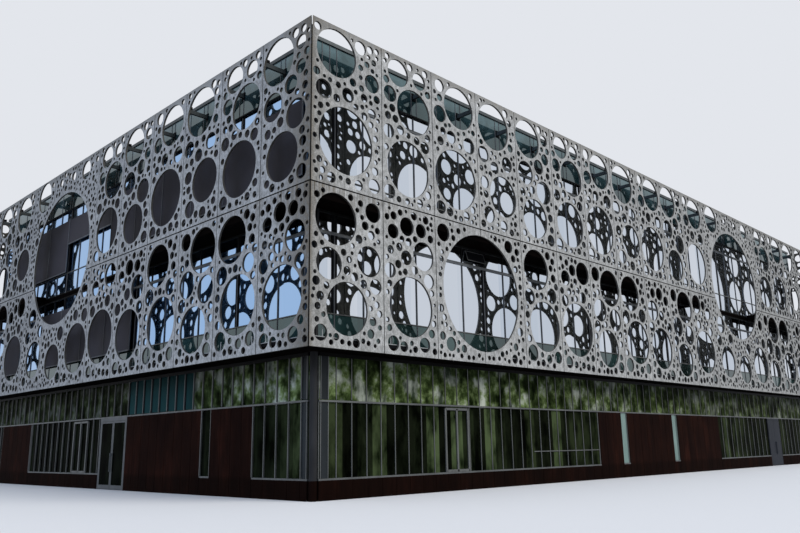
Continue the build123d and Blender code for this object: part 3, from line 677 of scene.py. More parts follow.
UPPER_ROWS = {"front": "ABCDEBCDCECzyxBCDE", "side": "ebdcebXYZdeb",
              "back": "aBCDEBCDEBCDEBCDEB", "far": "CDEBCDEBCDEB"}
LOWER_ROWS = {"front": "ABPQEfnEbnFihgnEBF", "side": "beNebFGHIFNe",
              "back": "aEBFNEBFNEBFNEBFNE", "far": "BFNEBFNEBFNE"}
WIDE_CIRCLES = {
    "front": ((FRONT_CORNER_BAY + 2.0 * BAY, SCREEN_FOOT + 138, 116), (FRONT_CORNER_BAY + 11.49 * BAY,
              SCREEN_FOOT + 327, 170)),
    "side": ((SIDE_CORNER_BAY + 6.45 * BAY, SCREEN_FOOT + 327, 170),),
    "back": (),
    "far": (),
}
BAYS = {"front": FRONT_BAYS, "side": SIDE_BAYS, "back": FRONT_BAYS, "far": SIDE_BAYS}
JOINTS = {face: np.concatenate([[0.0], RUN[face] - BAY * np.arange(BAYS[face] - 1, -1, -1)])
          for face in FACES}
SMALL_HOLES = ((5.8, 8), (4.6, 13), (3.5, 24), (2.6, 30))
WEB, EDGE_WEB = 1.8, 2.5
RIM, TIGHT_RIM = 4.5, 2.5
CROWDED_RADIUS, CROWDED_SHARE = 4.0, 0.3


def packed_mould(letter, holes, wide, width, height):
    """A mould's holes with the small ones dropped in between: a place stays if its web is wide enough."""
    chance = np.random.default_rng(ord(letter) * 7 + int(height))
    known = wide + list(holes)
    for radius, wanted in SMALL_HOLES:
        if wide and radius > CROWDED_RADIUS:
            wanted = round(wanted * CROWDED_SHARE)
        margin = radius + EDGE_WEB
        drops = margin + chance.random((900, 2)) * (width - 2 * margin, height - 2 * margin)
        for across, up in drops:
            table = np.array(known)
            web = np.hypot(table[:, 0] - across, table[:, 1] - up) - table[:, 2] - radius
            if web.min() > WEB:
                known.append((across, up, radius))
                wanted -= 1
            if wanted == 0:
                break
    return known[len(wide):]


def row_circles(face, row):
    """All holes of one row of a face, as rows of (along, height, radius) in millimetres."""
    moulds, letters, foot, height = (
        (UPPER_MOULDS, UPPER_ROWS[face], MID_JOINT, SCREEN_TOP - MID_JOINT) if row == "upper" else
        (LOWER_MOULDS, LOWER_ROWS[face], SCREEN_FOOT, MID_JOINT - SCREEN_FOOT))
    unit = BAY / 100
    circles = []
    for number, letter in enumerate(letters):
        left, far = JOINTS[face][number], JOINTS[face][number + 1]
        wide = [((w[0] - left if letter.isupper() else far - w[0]) / unit, (w[1] - foot) / unit,
                 (w[2] + RIM) / unit - WEB) for w in WIDE_CIRCLES[face] if left - w[2] < w[0] < far + w[2]]
        mould = packed_mould(letter.upper(), moulds[letter.upper()], wide, (far - left) / unit, height / unit)
        for across, up, radius in mould:
            along = left + across * unit if letter.isupper() else far - across * unit
            circle = (along, foot + up * unit, radius * unit)
            webs = [math.hypot(circle[0] - w[0], circle[1] - w[1]) - w[2] - circle[2]
                    for w in WIDE_CIRCLES[face]]
            if min(webs, default=RIM) > TIGHT_RIM:
                circles.append(circle)
    return np.array(circles + list(WIDE_CIRCLES[face]))


screen_holes = {(face, row): row_circles(face, row) for face in FACES for row in ("upper", "lower")}
print("holes in the screens:", sum(len(c) for c in screen_holes.values()))

# %% [markdown]
# A plate with sixty holes could be cut by booleans, but that is slow and leaves slivers. Here each
# panel is a flat drawing: its rectangle and the rings of its holes go into a constrained Delaunay
# triangulation, and the triangles that lie inside a hole are dropped. The edges that are left with
# a triangle on one side only are the rims, and each becomes a wall through the panel's thickness.

# %% Drawing of one perforated panel
RING_POINTS, FEWEST, MOST, HIDDEN_SHARE = 5.2, 12, 84, 0.7


def ring(along, height, radius, seen):
    """Points round a circle, 5.2 * sqrt(radius) of them, so that a wide one gets more."""
    steps = np.clip(round(RING_POINTS * math.sqrt(radius)), FEWEST, MOST)
    steps = int(steps * (1.0 if seen else HIDDEN_SHARE))
    angle = np.arange(steps) * 2 * math.pi / steps
    return np.stack([along + radius * np.cos(angle), height + radius * np.sin(angle)], -1)


def panel_mesh(face, row, number):
    """Points and faces of one panel: its pierced face, the same at its back, and the walls between."""
    circles = screen_holes[face, row]
    joints = JOINTS[face]
    last = len(joints) - 2
    left = joints[number] + (CORNER_JOINT if number == 0 else PANEL_JOINT / 2)
    far = joints[number + 1] - (CORNER_JOINT if number == last else PANEL_JOINT / 2)
    foot, top = ((MID_JOINT + LEVEL_JOINT / 2, SCREEN_TOP) if row == "upper" else
                 (SCREEN_FOOT, MID_JOINT - LEVEL_JOINT / 2))
    gap_along = np.maximum(np.maximum(left - circles[:, 0], circles[:, 0] - far), 0)
    gap_up = np.maximum(np.maximum(foot - circles[:, 1], circles[:, 1] - top), 0)
    circles = circles[np.hypot(gap_along, gap_up) < circles[:, 2]]
    loops = [np.array([(left, foot), (far, foot), (far, top), (left, top)])]
    loops += [ring(*circle, face in SEEN) for circle in circles]
    start = np.cumsum([0] + [len(loop) for loop in loops])
    edges = [(s + i, s + (i + 1) % len(loop)) for s, loop in zip(start, loops) for i in range(len(loop))]
    flat = [Vector(p) for p in np.concatenate(loops)]
    found = delaunay_2d_cdt(flat, edges, [], 0, 1e-5)
    points = np.array([p[:] for p in found[0]])
    triangles = np.array(found[2])
    middle = points[triangles].mean(1)
    inside = (middle[:, 0] > left) & (middle[:, 0] < far) & (middle[:, 1] > foot) & (middle[:, 1] < top)
    distance = np.hypot(middle[:, None, 0] - circles[:, 0], middle[:, None, 1] - circles[:, 1])
    triangles = triangles[inside & (distance > circles[:, 2] * 0.999).all(1)]
    spans = points[triangles[:, 1:]] - points[triangles[:, :1]]
    clockwise = spans[:, 0, 0] * spans[:, 1, 1] < spans[:, 0, 1] * spans[:, 1, 0]
    triangles[clockwise] = triangles[clockwise][:, ::-1]
    sides = np.concatenate([triangles[:, [0, 1]], triangles[:, [1, 2]], triangles[:, [2, 0]]])
    code = sides[:, 0] * len(points) + sides[:, 1]
    rims = sides[~np.isin(code, sides[:, 1] * len(points) + sides[:, 0])]
    behind = points.copy()
    if number == 0:
        behind[np.abs(points[:, 0] - left) < 1e-3, 0] += SCREEN_THICK
    if number == last:
        behind[np.abs(points[:, 0] - far) < 1e-3, 0] -= SCREEN_THICK
    both = np.concatenate([spots(face, points[:, 0], 0.0, points[:, 1]),
                           spots(face, behind[:, 0], SCREEN_THICK, behind[:, 1])])
    n = len(points)
    walls = np.stack([rims[:, 0], rims[:, 0] + n, rims[:, 1] + n, rims[:, 1]], -1)
    fronts, backs = triangles, triangles[:, ::-1] + n
    if face in TURNED:
        fronts, backs, walls = fronts[:, ::-1], backs[:, ::-1], walls[:, ::-1]
    return both, fronts, backs, walls


print("panel drawing ready")

# %% [markdown]
# The panels of one CAD node become one piece, which stands for that node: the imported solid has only
# the widest holes, so it is hidden. The six panels that a great circle reaches, and the two of the
# round window, are pieces of their own, as their nodes are.

# %% Pieces of the screen
SMOOTH_BELOW = 35


def screen_piece(name, node, face, panels):
    """One piece of the screen from (row, panel number) pairs. It stands for the plainer CAD node."""
    points, fronts, backs, walls, count = [], [], [], [], 0
    for row, number in panels:
        made = panel_mesh(face, row, number)
        points.append(made[0])
        for store, part in zip((fronts, backs, walls), made[1:]):
            store.append(part + count)
        count += len(made[0])
    fronts, backs, walls = (np.concatenate(part) for part in (fronts, backs, walls))
    marks = np.repeat([0, 1, 2], [len(fronts), len(backs), len(walls)])
    faces = [np.concatenate([fronts, backs]), walls]
    finishes = [screen_face, screen_back, screen_reveal]
    piece = make_piece(name, np.concatenate(points), faces, finishes, marks, SMOOTH_BELOW)
    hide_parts(node)
    print(f"{name}: {len(fronts) + len(backs) + 2 * len(walls)} triangles")


def panels_at(face, circle):
    """Numbers of the panels that a wide circle reaches."""
    joints = JOINTS[face]
    return [n for n in range(len(joints) - 1)
            if joints[n] < circle[0] + circle[2] and joints[n + 1] > circle[0] - circle[2]]


for face in FACES:
    numbers = range(len(JOINTS[face]) - 1)
    great = panels_at(face, WIDE_CIRCLES[face][-1]) if face in SEEN else []
    window = panels_at(face, WIDE_CIRCLES[face][0]) if face == "front" else []
    screen_piece(f"{face}_upper_panels", f"{face}_screen_upper", face,
                 [("upper", n) for n in numbers if n not in great])
    screen_piece(f"{face}_lower_panels", f"{face}_screen_lower", face,
                 [("lower", n) for n in numbers if n not in great and n not in window])
    if great:
        screen_piece(f"{face}_great_circle_panels", f"{face}_screen_great", face,
                     [(row, n) for row in ("upper", "lower") for n in great])
    if window:
        screen_piece(f"{face}_round_window_panels", f"{face}_screen_round", face,
                     [("lower", n) for n in window])

# %% [markdown]
# The joints between the panels are closed by a dark rubber seal set back from the face. It stops
# wherever a wide hole crosses the joint. At the corners, where two panels are mitred, the seal ends
# a little below the top.

# %% Seals in the joints
SEAL_DEEP, LEVEL_SEAL_DEEP, CORNER_SEAL = (1.8, 3.2), (2.5, 3.5), (2.0, 3.9)
CORNER_SEAL_TOP = SCREEN_TOP - 16
SEAL_LAP, SHORTEST_SEAL = 0.1, 1.0


def closed_stretches(circles, axis, at, low, high):
    """Stretches of the line axis = at that no circle cuts: each cuts out its centre -+ sqrt(r^2 - d^2)."""
    half = np.sqrt(np.maximum(circles[:, 2] ** 2 - (circles[:, axis] - at) ** 2, 0))
    centre = circles[:, 1 - axis]
    place, found = low, []
    for start, end in sorted(zip((centre - half)[half > 0], (centre + half)[half > 0])):
        found.append((place, min(start, high)))
        place = max(place, end)
    found.append((place, high))
    return [(a, b) for a, b in found if b - a > SHORTEST_SEAL]


half, tall = PANEL_JOINT / 2 + SEAL_LAP, LEVEL_JOINT / 2 + SEAL_LAP
for face in FACES:
    circles = np.concatenate([screen_holes[face, "upper"], screen_holes[face, "lower"]])
    for joint in JOINTS[face][1:-1]:
        for span in closed_stretches(circles, 0, joint, SCREEN_FOOT, SCREEN_TOP):
            add_bars("joint_seals", face, standing([joint], half, SEAL_DEEP, span))
    for span in closed_stretches(circles, 1, MID_JOINT, CORNER_JOINT, RUN[face] - CORNER_JOINT):
        add_bars("joint_seals", face, lying(span, LEVEL_SEAL_DEEP, [(MID_JOINT - tall, 2 * tall)]), "along")
for face in ("front", "back"):
    for end in (CORNER_SEAL, (LENGTH - CORNER_SEAL[1], LENGTH - CORNER_SEAL[0])):
        add_bars("joint_seals", face, [(*end, *CORNER_SEAL, SCREEN_FOOT, CORNER_SEAL_TOP)])
make_bars("dark_steel", joint_seals=seal_rubber)

# %% [markdown]
# The screen's foot stands on a steel angle at the edge of the first floor. Its flat leg is bare
# zinc and its upright leg is black, painted shade under the flat leg, so through the lowest holes it
# shows as a thin light line with darkness under it. A gusset stiffens it on both sides of each joint.

# %% Angle at the screen's foot
LEG_DEEP = (SCREEN_THICK + 0.4, SCREEN_THICK + 2.4)
FLAT_DEEP = (LEG_DEEP[0], LEG_DEEP[1] + 3)
GUSSET_DEEP = (LEG_DEEP[0] + 0.4, LEG_DEEP[0] + 2.0)
ANGLE_END = LEG_DEEP[1] + 0.6
ANGLE_TOP, FLAT_THICK = 250.3, 1.5
GUSSET_OFF, END_GUSSET, GUSSET_HALF, GUSSET_HIGH = 20.0, 32.0, 0.7, 15.0

gusset_foot = ANGLE_TOP + FLAT_THICK
for face in FACES:
    ends = (ANGLE_END, RUN[face] - ANGLE_END)
    add_bars("foot_angle_legs", face, [(*ends, *LEG_DEEP, FIRST_FLOOR + 0.2, ANGLE_TOP)], "along")
    add_bars("foot_angle_flats", face, lying(ends, FLAT_DEEP, [(ANGLE_TOP, FLAT_THICK)]), "along")
    places = [joint + side * GUSSET_OFF for joint in JOINTS[face][1:-1] for side in (-1, 1)]
    places = [END_GUSSET, *places, RUN[face] - END_GUSSET]
    places = [a for a in places if all(abs(a - w[0]) > w[2] for w in WIDE_CIRCLES[face])]
    span = (gusset_foot, gusset_foot + GUSSET_HIGH)
    add_bars("foot_angle_gussets", face, standing(places, GUSSET_HALF, GUSSET_DEEP, span))
# The upright leg's black is painted shade under the flat leg.
make_bars("dark_steel", foot_angle_legs=black_steel_and_shade)
make_bars("aluminium_rail", foot_angle_flats=angle_steel, foot_angle_gussets=angle_steel)

# %% [markdown]
# Behind the screen stands the glass wall of the two upper storeys. Its bars repeat at half a bay:
# slim dark uprights, nearly black above the lower rail as painted shade, a rail where a hand would
# rest, and dark bars at the floors. Enamelled teal panes cover the foot of the first storey. Broad
# dark posts show behind the glass every third bay, and a square post closes each corner. The same
# wall goes round all four sides.

# %% Sizes of the upper glass wall
HALF_BAY = BAY / 2
FIRST_UPRIGHT = {"front": 95.6, "back": 95.6, "side": 77.5, "far": 77.5}
SECOND_OFF = {"front": 0.0, "back": 0.0, "side": 7.5, "far": 7.5}
FIRST_POST = {"front": 95.6, "back": 95.6, "side": 280.0, "far": 280.0}
GLASS_FACE = WALL + 3.0
LOW_TRANSOM, LOW_RAIL = 299.0, 437.0
HIGH_TRANSOM, HIGH_RAIL, ROOF_TRANSOM = 541.0, 684.0, 717.0
HEADS_FOOT, SECOND_SILL = LOW_RAIL + 2, SECOND_FLOOR + 10
STOREYS = ((FIRST_FLOOR, SECOND_FLOOR), (SECOND_SILL, ROOF_TRANSOM))
FLOOR_BARS = ((FIRST_FLOOR, 3), (SECOND_FLOOR - 4, 4), (SECOND_SILL, 4))
BAR_HALF, BAR_OUT, FLOOR_BAR_OUT, ROOF_BAR_OUT = 1.1, 1.8, 1.6, 5.4
THIN_BAR, THIN_OUT = 2.2, 2.2
RAIL_HIGH, RAIL_OUT, CAP_HIGH, CAP_OUT = 4.6, 2.4, 0.9, 2.9
POST_HALF, POST_DEEP = 6.5, (GLASS_FACE - 0.4, GLASS_FACE - 0.1)
SPANDREL_DEEP, NARROWEST_PANE = (GLASS_FACE - 0.7, GLASS_FACE - 0.1), 3
CORNER_POST, POST_PROUD, CORNER_TOP = 4.5, 0.8, ROOF_EDGE - 7


def proud(out):
    """The stretch of depth that ends at the glass's face and begins out millimetres before it."""
    return GLASS_FACE - out, GLASS_FACE


print("glass wall:", STOREYS)

# %% Upper glass wall
for face in FACES:
    ends = (WALL + CORNER_POST, RUN[face] - WALL - CORNER_POST)
    at = np.arange(FIRST_UPRIGHT[face], ends[1], HALF_BAY)
    at[1] += SECOND_OFF[face]
    post_at = np.arange(FIRST_POST[face], ends[1], 3 * BAY)
    # Above the lower rail the uprights take the black finish: painted shade under the floor above.
    for name, span in (("upper_uprights", (FIRST_FLOOR, HEADS_FOOT)), ("upper_uprights", STOREYS[1]),
                       ("upper_upright_heads", (HEADS_FOOT, SECOND_FLOOR))):
        add_bars(name, face, standing(at, BAR_HALF, proud(BAR_OUT), span))
    for storey in STOREYS:
        add_bars("upper_posts", face, standing(post_at, POST_HALF, POST_DEEP, storey))
    for name, out, heights in (
            ("upper_transoms", FLOOR_BAR_OUT, FLOOR_BARS),
            ("upper_transoms", ROOF_BAR_OUT, [(ROOF_TRANSOM, 3)]),
            ("upper_thin_transoms", THIN_OUT, [(LOW_TRANSOM, THIN_BAR), (HIGH_TRANSOM, THIN_BAR)]),
            ("upper_hand_rails", RAIL_OUT, [(LOW_RAIL, RAIL_HIGH), (HIGH_RAIL, RAIL_HIGH)]),
            ("hand_rail_caps", CAP_OUT, [(z + RAIL_HIGH, CAP_HIGH) for z in (LOW_RAIL, HIGH_RAIL)])):
        add_bars(name, face, lying(ends, proud(out), heights), "along")
    starts = np.concatenate([[ends[0]], at + BAR_HALF])
    stops = np.concatenate([at - BAR_HALF, [ends[1]]])
    add_bars("teal_spandrel_panes", face, [(a, b, *SPANDREL_DEEP, FIRST_FLOOR + 3, LOW_TRANSOM)
                                           for a, b in zip(starts, stops) if b - a > NARROWEST_PANE])
for face in ("front", "back"):
    for start in (WALL - POST_PROUD, LENGTH - WALL - CORNER_POST):
        post = (start, start + CORNER_POST + POST_PROUD, WALL - POST_PROUD, WALL + CORNER_POST)
        add_bars("upper_corner_posts", face, [(*post, *STOREYS[0]), (*post, SECOND_SILL, CORNER_TOP)])

make_bars("dark_steel", upper_uprights=dark_bar, upper_upright_heads=black_bar, upper_transoms=black_bar,
          upper_posts=black_steel_and_shade, upper_corner_posts=black_steel_and_shade)
make_bars("aluminium_rail", upper_thin_transoms=bar_metal, upper_hand_rails=light_rail,
          hand_rail_caps=bar_metal)
make_bars("glass", teal_spandrel_panes=teal_glass)

# %% [markdown]
# The parapet is clad in the same teal glass. Where a beam of the screen lands, at each joint, two
# bars stand close together with a narrow pane between them, and a single bar halves the bay. A
# steel plate takes the beam at the wall, and a cleat above its outer end carries the panels.

# %% Parapet cladding and the beams' fixings
CLADDING = (ROOF_TRANSOM + 3, ROOF_EDGE - 7)
CLADDING_END, LAST_BAR_OFF = 0.3, 6
CLADDING_BAR_HALF, CLADDING_BAR_DEEP = 0.8, (WALL - 2.2, WALL - 0.2)
CLADDING_PANE_DEEP = (WALL - 1.3, WALL - 0.1)
PAIR = {"front": (-7.2, 7.8), "back": (-7.2, 7.8), "side": (-1.2, 13.0), "far": (-1.2, 13.0)}
CORNER_BARS = {"front": (62.1, 79.6, 96.1), "back": (62.1, 79.6, 96.1),
               "side": (60.0, 77.5), "far": (60.0, 77.5)}
BEAM_FOOT, BEAM_TOP = level("front_brackets", 0), level("front_brackets", 1)
PLATE_HALF, PLATE_DEEP, PLATE_SPAN = 5, (WALL - 2.6, WALL - 1.3), (BEAM_FOOT - 4, BEAM_TOP + 4)
CLEAT_HALF, CLEAT_DEEP, CLEAT_SPAN = 2.4, (SCREEN_THICK + 0.2, 13.0), (BEAM_TOP, BEAM_TOP + 7)

for face in FACES:
    ends = (WALL + CLADDING_END, RUN[face] - WALL - CLADDING_END)
    joints = JOINTS[face][1:-1]
    at = [joint + shift for joint in joints for shift in (*PAIR[face], HALF_BAY - 1)]
    at = np.array(sorted([*CORNER_BARS[face], *(a for a in at if a < ends[1] - LAST_BAR_OFF)]))
    add_bars("parapet_bars", face, standing(at, CLADDING_BAR_HALF, CLADDING_BAR_DEEP, CLADDING))
    starts = np.concatenate([[ends[0]], at + CLADDING_BAR_HALF])
    stops = np.concatenate([at - CLADDING_BAR_HALF, [ends[1]]])
    panes = [(a, b, *CLADDING_PANE_DEEP, *CLADDING) for a, b in zip(starts, stops)]
    add_bars("parapet_teal_panes", face, panes)
    add_bars("beam_end_plates", face, standing(joints, PLATE_HALF, PLATE_DEEP, PLATE_SPAN))
    add_bars("beam_cleats", face, standing(joints, CLEAT_HALF, CLEAT_DEEP, CLEAT_SPAN))
make_bars("dark_steel", parapet_bars=dark_bar, beam_end_plates=black_steel_and_shade, beam_cleats=black_steel_and_shade)
make_bars("glass", parapet_teal_panes=teal_glass)

# %% [markdown]
# One pane behind the round window near the corner is a top-hung vent, and it stands ajar. It is
# made shut, as a light frame round a dark pane whose black is painted shade of the room behind,
# and then leaned: each point moves outwards by its share of the height below the vent's head.

# %% Vent behind the round window
VENT_START, VENT_END, VENT_FOOT, VENT_HEAD = 444.6, 502.8, 449.4, 470.8
VENT_BAR, VENT_AJAR = 1.5, 6.5
VENT_DEEP, VENT_PANE_DEEP = (GLASS_FACE - 1.6, GLASS_FACE - 0.2), (GLASS_FACE - 1.1, GLASS_FACE - 0.5)


def leaned(piece):
    """Moves the points outwards by ajar * (head - z) / (head - foot)."""
    points = np.empty(len(piece.data.vertices) * 3, np.float32)
    piece.data.vertices.foreach_get("co", points)
    points = points.reshape(-1, 3)
    points[:, 1] -= VENT_AJAR * (VENT_HEAD * MM - points[:, 2]) / (VENT_HEAD - VENT_FOOT)
    piece.data.vertices.foreach_set("co", points.ravel())
    piece.data.update()


heights = [(VENT_FOOT, VENT_BAR), (VENT_HEAD - VENT_BAR, VENT_BAR)]
level_bars = lying((VENT_START, VENT_END), VENT_DEEP, heights)
side_bars = [(a, a + VENT_BAR, *VENT_DEEP, VENT_FOOT, VENT_HEAD) for a in (VENT_START, VENT_END - VENT_BAR)]
vent_pane = [(VENT_START + 1, VENT_END - 1, *VENT_PANE_DEEP, VENT_FOOT + 1, VENT_HEAD - 1)]
vent_frame = [("front", level_bars, "along"), ("front", side_bars, "up")]
leaned(bar_piece("vent_frame", vent_frame, bar_metal))
# The pane's black stands for the room's shade behind the glass: painted shade.
leaned(bar_piece("vent_pane", [("front", vent_pane, "up")], black_steel_and_shade))

# %% [markdown]
# Outdoor blinds of screen cloth hang on the short side, where the afternoon sun comes in. Each run
# is cloth stretched between side guides, with a weighted bar at its foot. A stretched cloth is
# flat but not quite: it bellies between its guides by half a millimetre, so the sheet is a grid
# with a shallow wave.

# %% Blinds of the short side: start, end, foot and head of each
BLINDS = {
    "blind_second_storey_near": (81.0, 826.0, 545.0, 686.0),
    "blind_second_storey_half": (829.0, 1082.0, 620.0, 686.0),
    "blind_second_storey_far": (1085.0, 1458.0, 545.0, 686.0),
    "blind_first_storey_near": (692.0, 1217.0, 300.0, 441.0),
    "blind_first_storey_far": (1366.0, 1486.0, 300.0, 441.0),
}
BLIND_DEEP = WALL - 5.0
BELLY, GRID_STEP, GRID_ROWS = 0.5, 5, 12
GUIDE_HALF, GUIDE_DEEP = 0.7, (BLIND_DEEP - 1.2, BLIND_DEEP + 1.5)
FOOT_DEEP = (BLIND_DEEP - 1.0, BLIND_DEEP + 1.6)
FOOT_BELOW, FOOT_ABOVE, GUIDE_ABOVE = 2.4, 0.4, 4


def blind_grid(start, end, foot, head):
    """A grid whose depth swells by belly * sin^2(pi * along / half a bay)."""
    columns = int((end - start) / GRID_STEP)
    along, up = np.meshgrid(np.linspace(start, end, columns), np.linspace(foot, head, GRID_ROWS))
    swell = BELLY * np.sin(np.pi * (along - start) / HALF_BAY) ** 2
    first = (np.arange(GRID_ROWS - 1)[:, None] * columns + np.arange(columns - 1)).ravel()
    quads = np.stack([first, first + columns, first + columns + 1, first + 1], -1)
    return spots("side", along, BLIND_DEEP + swell, up), quads


for name, (start, end, foot, head) in BLINDS.items():
    points, quads = blind_grid(start, end, foot, head)
    sheet = make_piece(name, points, [quads], [screen_cloth], smooth=60)
    guide_step = (end - start) / max(1, round((end - start) / BAY))
    guide_at = np.arange(start, end + 1, guide_step)
    span = (foot - FOOT_BELOW, head + GUIDE_ABOVE)
    add_bars("blind_guides", "side", standing(guide_at, GUIDE_HALF, GUIDE_DEEP, span))
    foot_bar = (start, end, *FOOT_DEEP, foot - FOOT_BELOW, foot + FOOT_ABOVE)
    add_bars("blind_foot_bars", "side", [foot_bar], "along")
make_bars("dark_steel", blind_guides=dark_bar, blind_foot_bars=dark_bar)

# %% [markdown]
# On the ground floor the bars stand closer, at a quarter of a bay, and in front of the glass as
# bright caps. They run above the transom over the whole wall, and below it only where there is a
# window. The frame's own solids say where the brown stretches and the doorways are.

# %% Stretches of the ground floor
QUARTER = BAY / 4


def node_stretches(node, face):
    """Start and end of a CAD node along a face, from its separate solids' x or y values."""
    axis = 0 if face in ("front", "back") else 1
    origin = (NEAR_X, NEAR_Y)[axis]
    ends = np.unique(np.round([v.co[axis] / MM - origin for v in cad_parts[node].data.vertices], 2))
    return list(zip(ends[::2], ends[1::2]))


def within(place, stretches, slack=2.0):
    """Whether a place along a wall lies inside one of some stretches."""
    return any(start - slack < place < end + slack for start, end in stretches)


BROWN = {face: node_stretches(f"{face}_brown_wall", face) for face in SEEN}
DOORWAY = {}
for face in SEEN:
    frame_parts = node_stretches(f"{face}_door_frame", face)
    DOORWAY[face] = (min(start for start, _ in frame_parts), max(end for _, end in frame_parts))
print("doorways:", {face: [round(float(edge)) for edge in edges] for face, edges in DOORWAY.items()})

# %% Ground-floor bars
BAR_ORIGIN = {"front": 100.5, "side": 80.6, "back": 95.0, "far": 95.0}
FIRST_BARS = {"front": (63.6, 67.6, 83.4), "side": (65.6,)}
FRAMED = {"front": ((368.6, 433.0),), "side": ((884.7, 959.7),)}
STANDS_OUT = {"front": 1.9, "side": 3.4, "back": 1.9, "far": 1.9}
TRANSOM_HIGH, HEAD_BAR_HIGH = 4, 8
CLERESTORY = (TRANSOM + TRANSOM_HIGH, level("front_ground_glass", 1))
WINDOW = (SILL_TOP, TRANSOM)
GROUND_BAR_HALF, EDGE_BAR_HALF, HIDDEN_BAR_HALF, CORNER_CLEAR = 0.8, 1.2, 0.9, 10

for face in SEEN:
    end = RUN[face] - WALL_END
    deep = proud(STANDS_OUT[face])
    at = [*np.arange(BAR_ORIGIN[face], end, QUARTER), *FIRST_BARS[face]]
    framed = [(start + 1, stop - 1) for start, stop in FRAMED[face]]
    open_at = [a for a in at if not within(a, BROWN[face] + [DOORWAY[face]]) and not within(a, framed, 0.0)]
    edges = [e for stretch in BROWN[face] for e in stretch if not within(e, [DOORWAY[face]], 1)]
    edges = [e for e in edges if WALL_END + CORNER_CLEAR < e < end - CORNER_CLEAR]
    add_bars("ground_bars", face, standing(at, GROUND_BAR_HALF, deep, CLERESTORY))
    add_bars("ground_bars", face, standing(open_at, GROUND_BAR_HALF, deep, WINDOW))
    add_bars("ground_bars", face, standing(edges, EDGE_BAR_HALF, deep, WINDOW))
for face in ("back", "far"):
    end = RUN[face] - WALL_END
    deep = proud(STANDS_OUT[face])
    at = np.arange(BAR_ORIGIN[face], end, QUARTER)
    add_bars("ground_bars", face, standing(at, HIDDEN_BAR_HALF, deep, CLERESTORY))
    heights = [(TRANSOM, TRANSOM_HIGH), (CLERESTORY[1], HEAD_BAR_HIGH)]
    add_bars("ground_bars", face, lying((WALL_END, end), deep, heights), "along")
make_bars("aluminium_rail", ground_bars=bar_metal)

# %% [markdown]
# A few lights of the ground floor are framed more heavily than the rest, and one long rail crosses
# the front windows low down. Some lights are not clear: pale slits between the brown stretches, a
# row of teal panes with a black strip beside each, painted shade of the bar's flank, and grey panes
# next to the corner, whose grey is painted reflection and shade.

# %% Framed and coloured lights
FRAME_HALF, FRAME_PROUD, FRAME_HIGH, FRAME_HEAD_OFF = 2.2, 1.0, 4.4, 4
FRAME_TOP_FOOT = TRANSOM - 7
LONG_RAIL_ENDS, LONG_RAIL_OUT, LONG_RAIL_FOOT, LONG_RAIL_HIGH = (649.0, 912.0), 1.7, 66.0, 2.0
PANE_DEEP, SHADE_STRIP_OUT, SHADE_STRIP = (GLASS_FACE - 1.0, GLASS_FACE - 0.1), 1.4, 3.6
TEAL_FIRST, TEAL_END, LIGHT_GAP, SLIT_GAP = 10, 680.0, 1.1, 1.3
CORNER_LIGHTS = {"front": (68.5, 82.5), "side": (67.7, 81.3)}

for face in SEEN:
    deep = proud(STANDS_OUT[face] + FRAME_PROUD)
    for start, end in FRAMED[face]:
        posts = (start, (start + end) / 2, end)
        span = (SILL_TOP, TRANSOM - FRAME_HEAD_OFF)
        add_bars("framed_lights", face, standing(posts, FRAME_HALF, deep, span))
        heights = [(SILL_TOP, FRAME_HIGH), (FRAME_TOP_FOOT, FRAME_HIGH)]
        add_bars("framed_lights", face, lying((start, end), deep, heights), "along")
    lights = [(*CORNER_LIGHTS[face], *PANE_DEEP, *span) for span in (WINDOW, CLERESTORY)]
    add_bars("corner_lights", face, lights)
long_rail = lying(LONG_RAIL_ENDS, proud(LONG_RAIL_OUT), [(LONG_RAIL_FOOT, LONG_RAIL_HIGH)])
add_bars("framed_lights", "front", long_rail, "along")
for (_, start), (end, _) in zip(BROWN["front"][:-1], BROWN["front"][1:]):
    if end - start < QUARTER:
        add_bars("narrow_slit_panes", "front", [(start + SLIT_GAP, end - SLIT_GAP, *PANE_DEEP, *WINDOW)])
for start in np.arange(BAR_ORIGIN["side"] + TEAL_FIRST * QUARTER, TEAL_END, QUARTER):
    edge = start + QUARTER - LIGHT_GAP - SHADE_STRIP
    add_bars("teal_ground_lights", "side", [(start + LIGHT_GAP, edge, *PANE_DEEP, *CLERESTORY)])
    # A black strip beside each teal pane: painted shade of the bar's flank.
    add_bars("teal_light_gaskets", "side", [(edge, edge + SHADE_STRIP, *proud(SHADE_STRIP_OUT), *CLERESTORY)])
make_bars("aluminium_rail", framed_lights=bar_metal)
make_bars("glass", narrow_slit_panes=pale_pane, teal_ground_lights=teal_board, corner_lights=corner_pane)
make_bars("dark_steel", teal_light_gaskets=black_steel_and_shade)

# %% [markdown]
# The brown skin is folded from sheet in trays a quarter of a bay wide, hung side by side with a
# dark gap between them. On the front and side they cover the base and the closed stretches; the two
# sides away from the camera are closed up to the transom, and the same trays cover them.

# %% Brown cladding trays
TRAY_GAP, TRAY_OUT, TRAY_FOOT, NARROWEST_TRAY = 0.8, 0.5, 1.0, 6


def add_trays(face, start, end, top):
    """Trays side by side between two places, each seam where a window bar would stand."""
    seams = BAR_ORIGIN[face] + QUARTER * np.arange(-2, RUN[face] / QUARTER)
    seams = seams[(seams > start + NARROWEST_TRAY) & (seams < end - NARROWEST_TRAY)]
    cuts = np.concatenate([[start], seams, [end]])
    deep = (WALL - TRAY_OUT, WALL)
    add_bars("brown_trays", face, [(a + TRAY_GAP / 2, b - TRAY_GAP / 2, *deep, TRAY_FOOT, top)
                                   for a, b in zip(cuts[:-1], cuts[1:])])


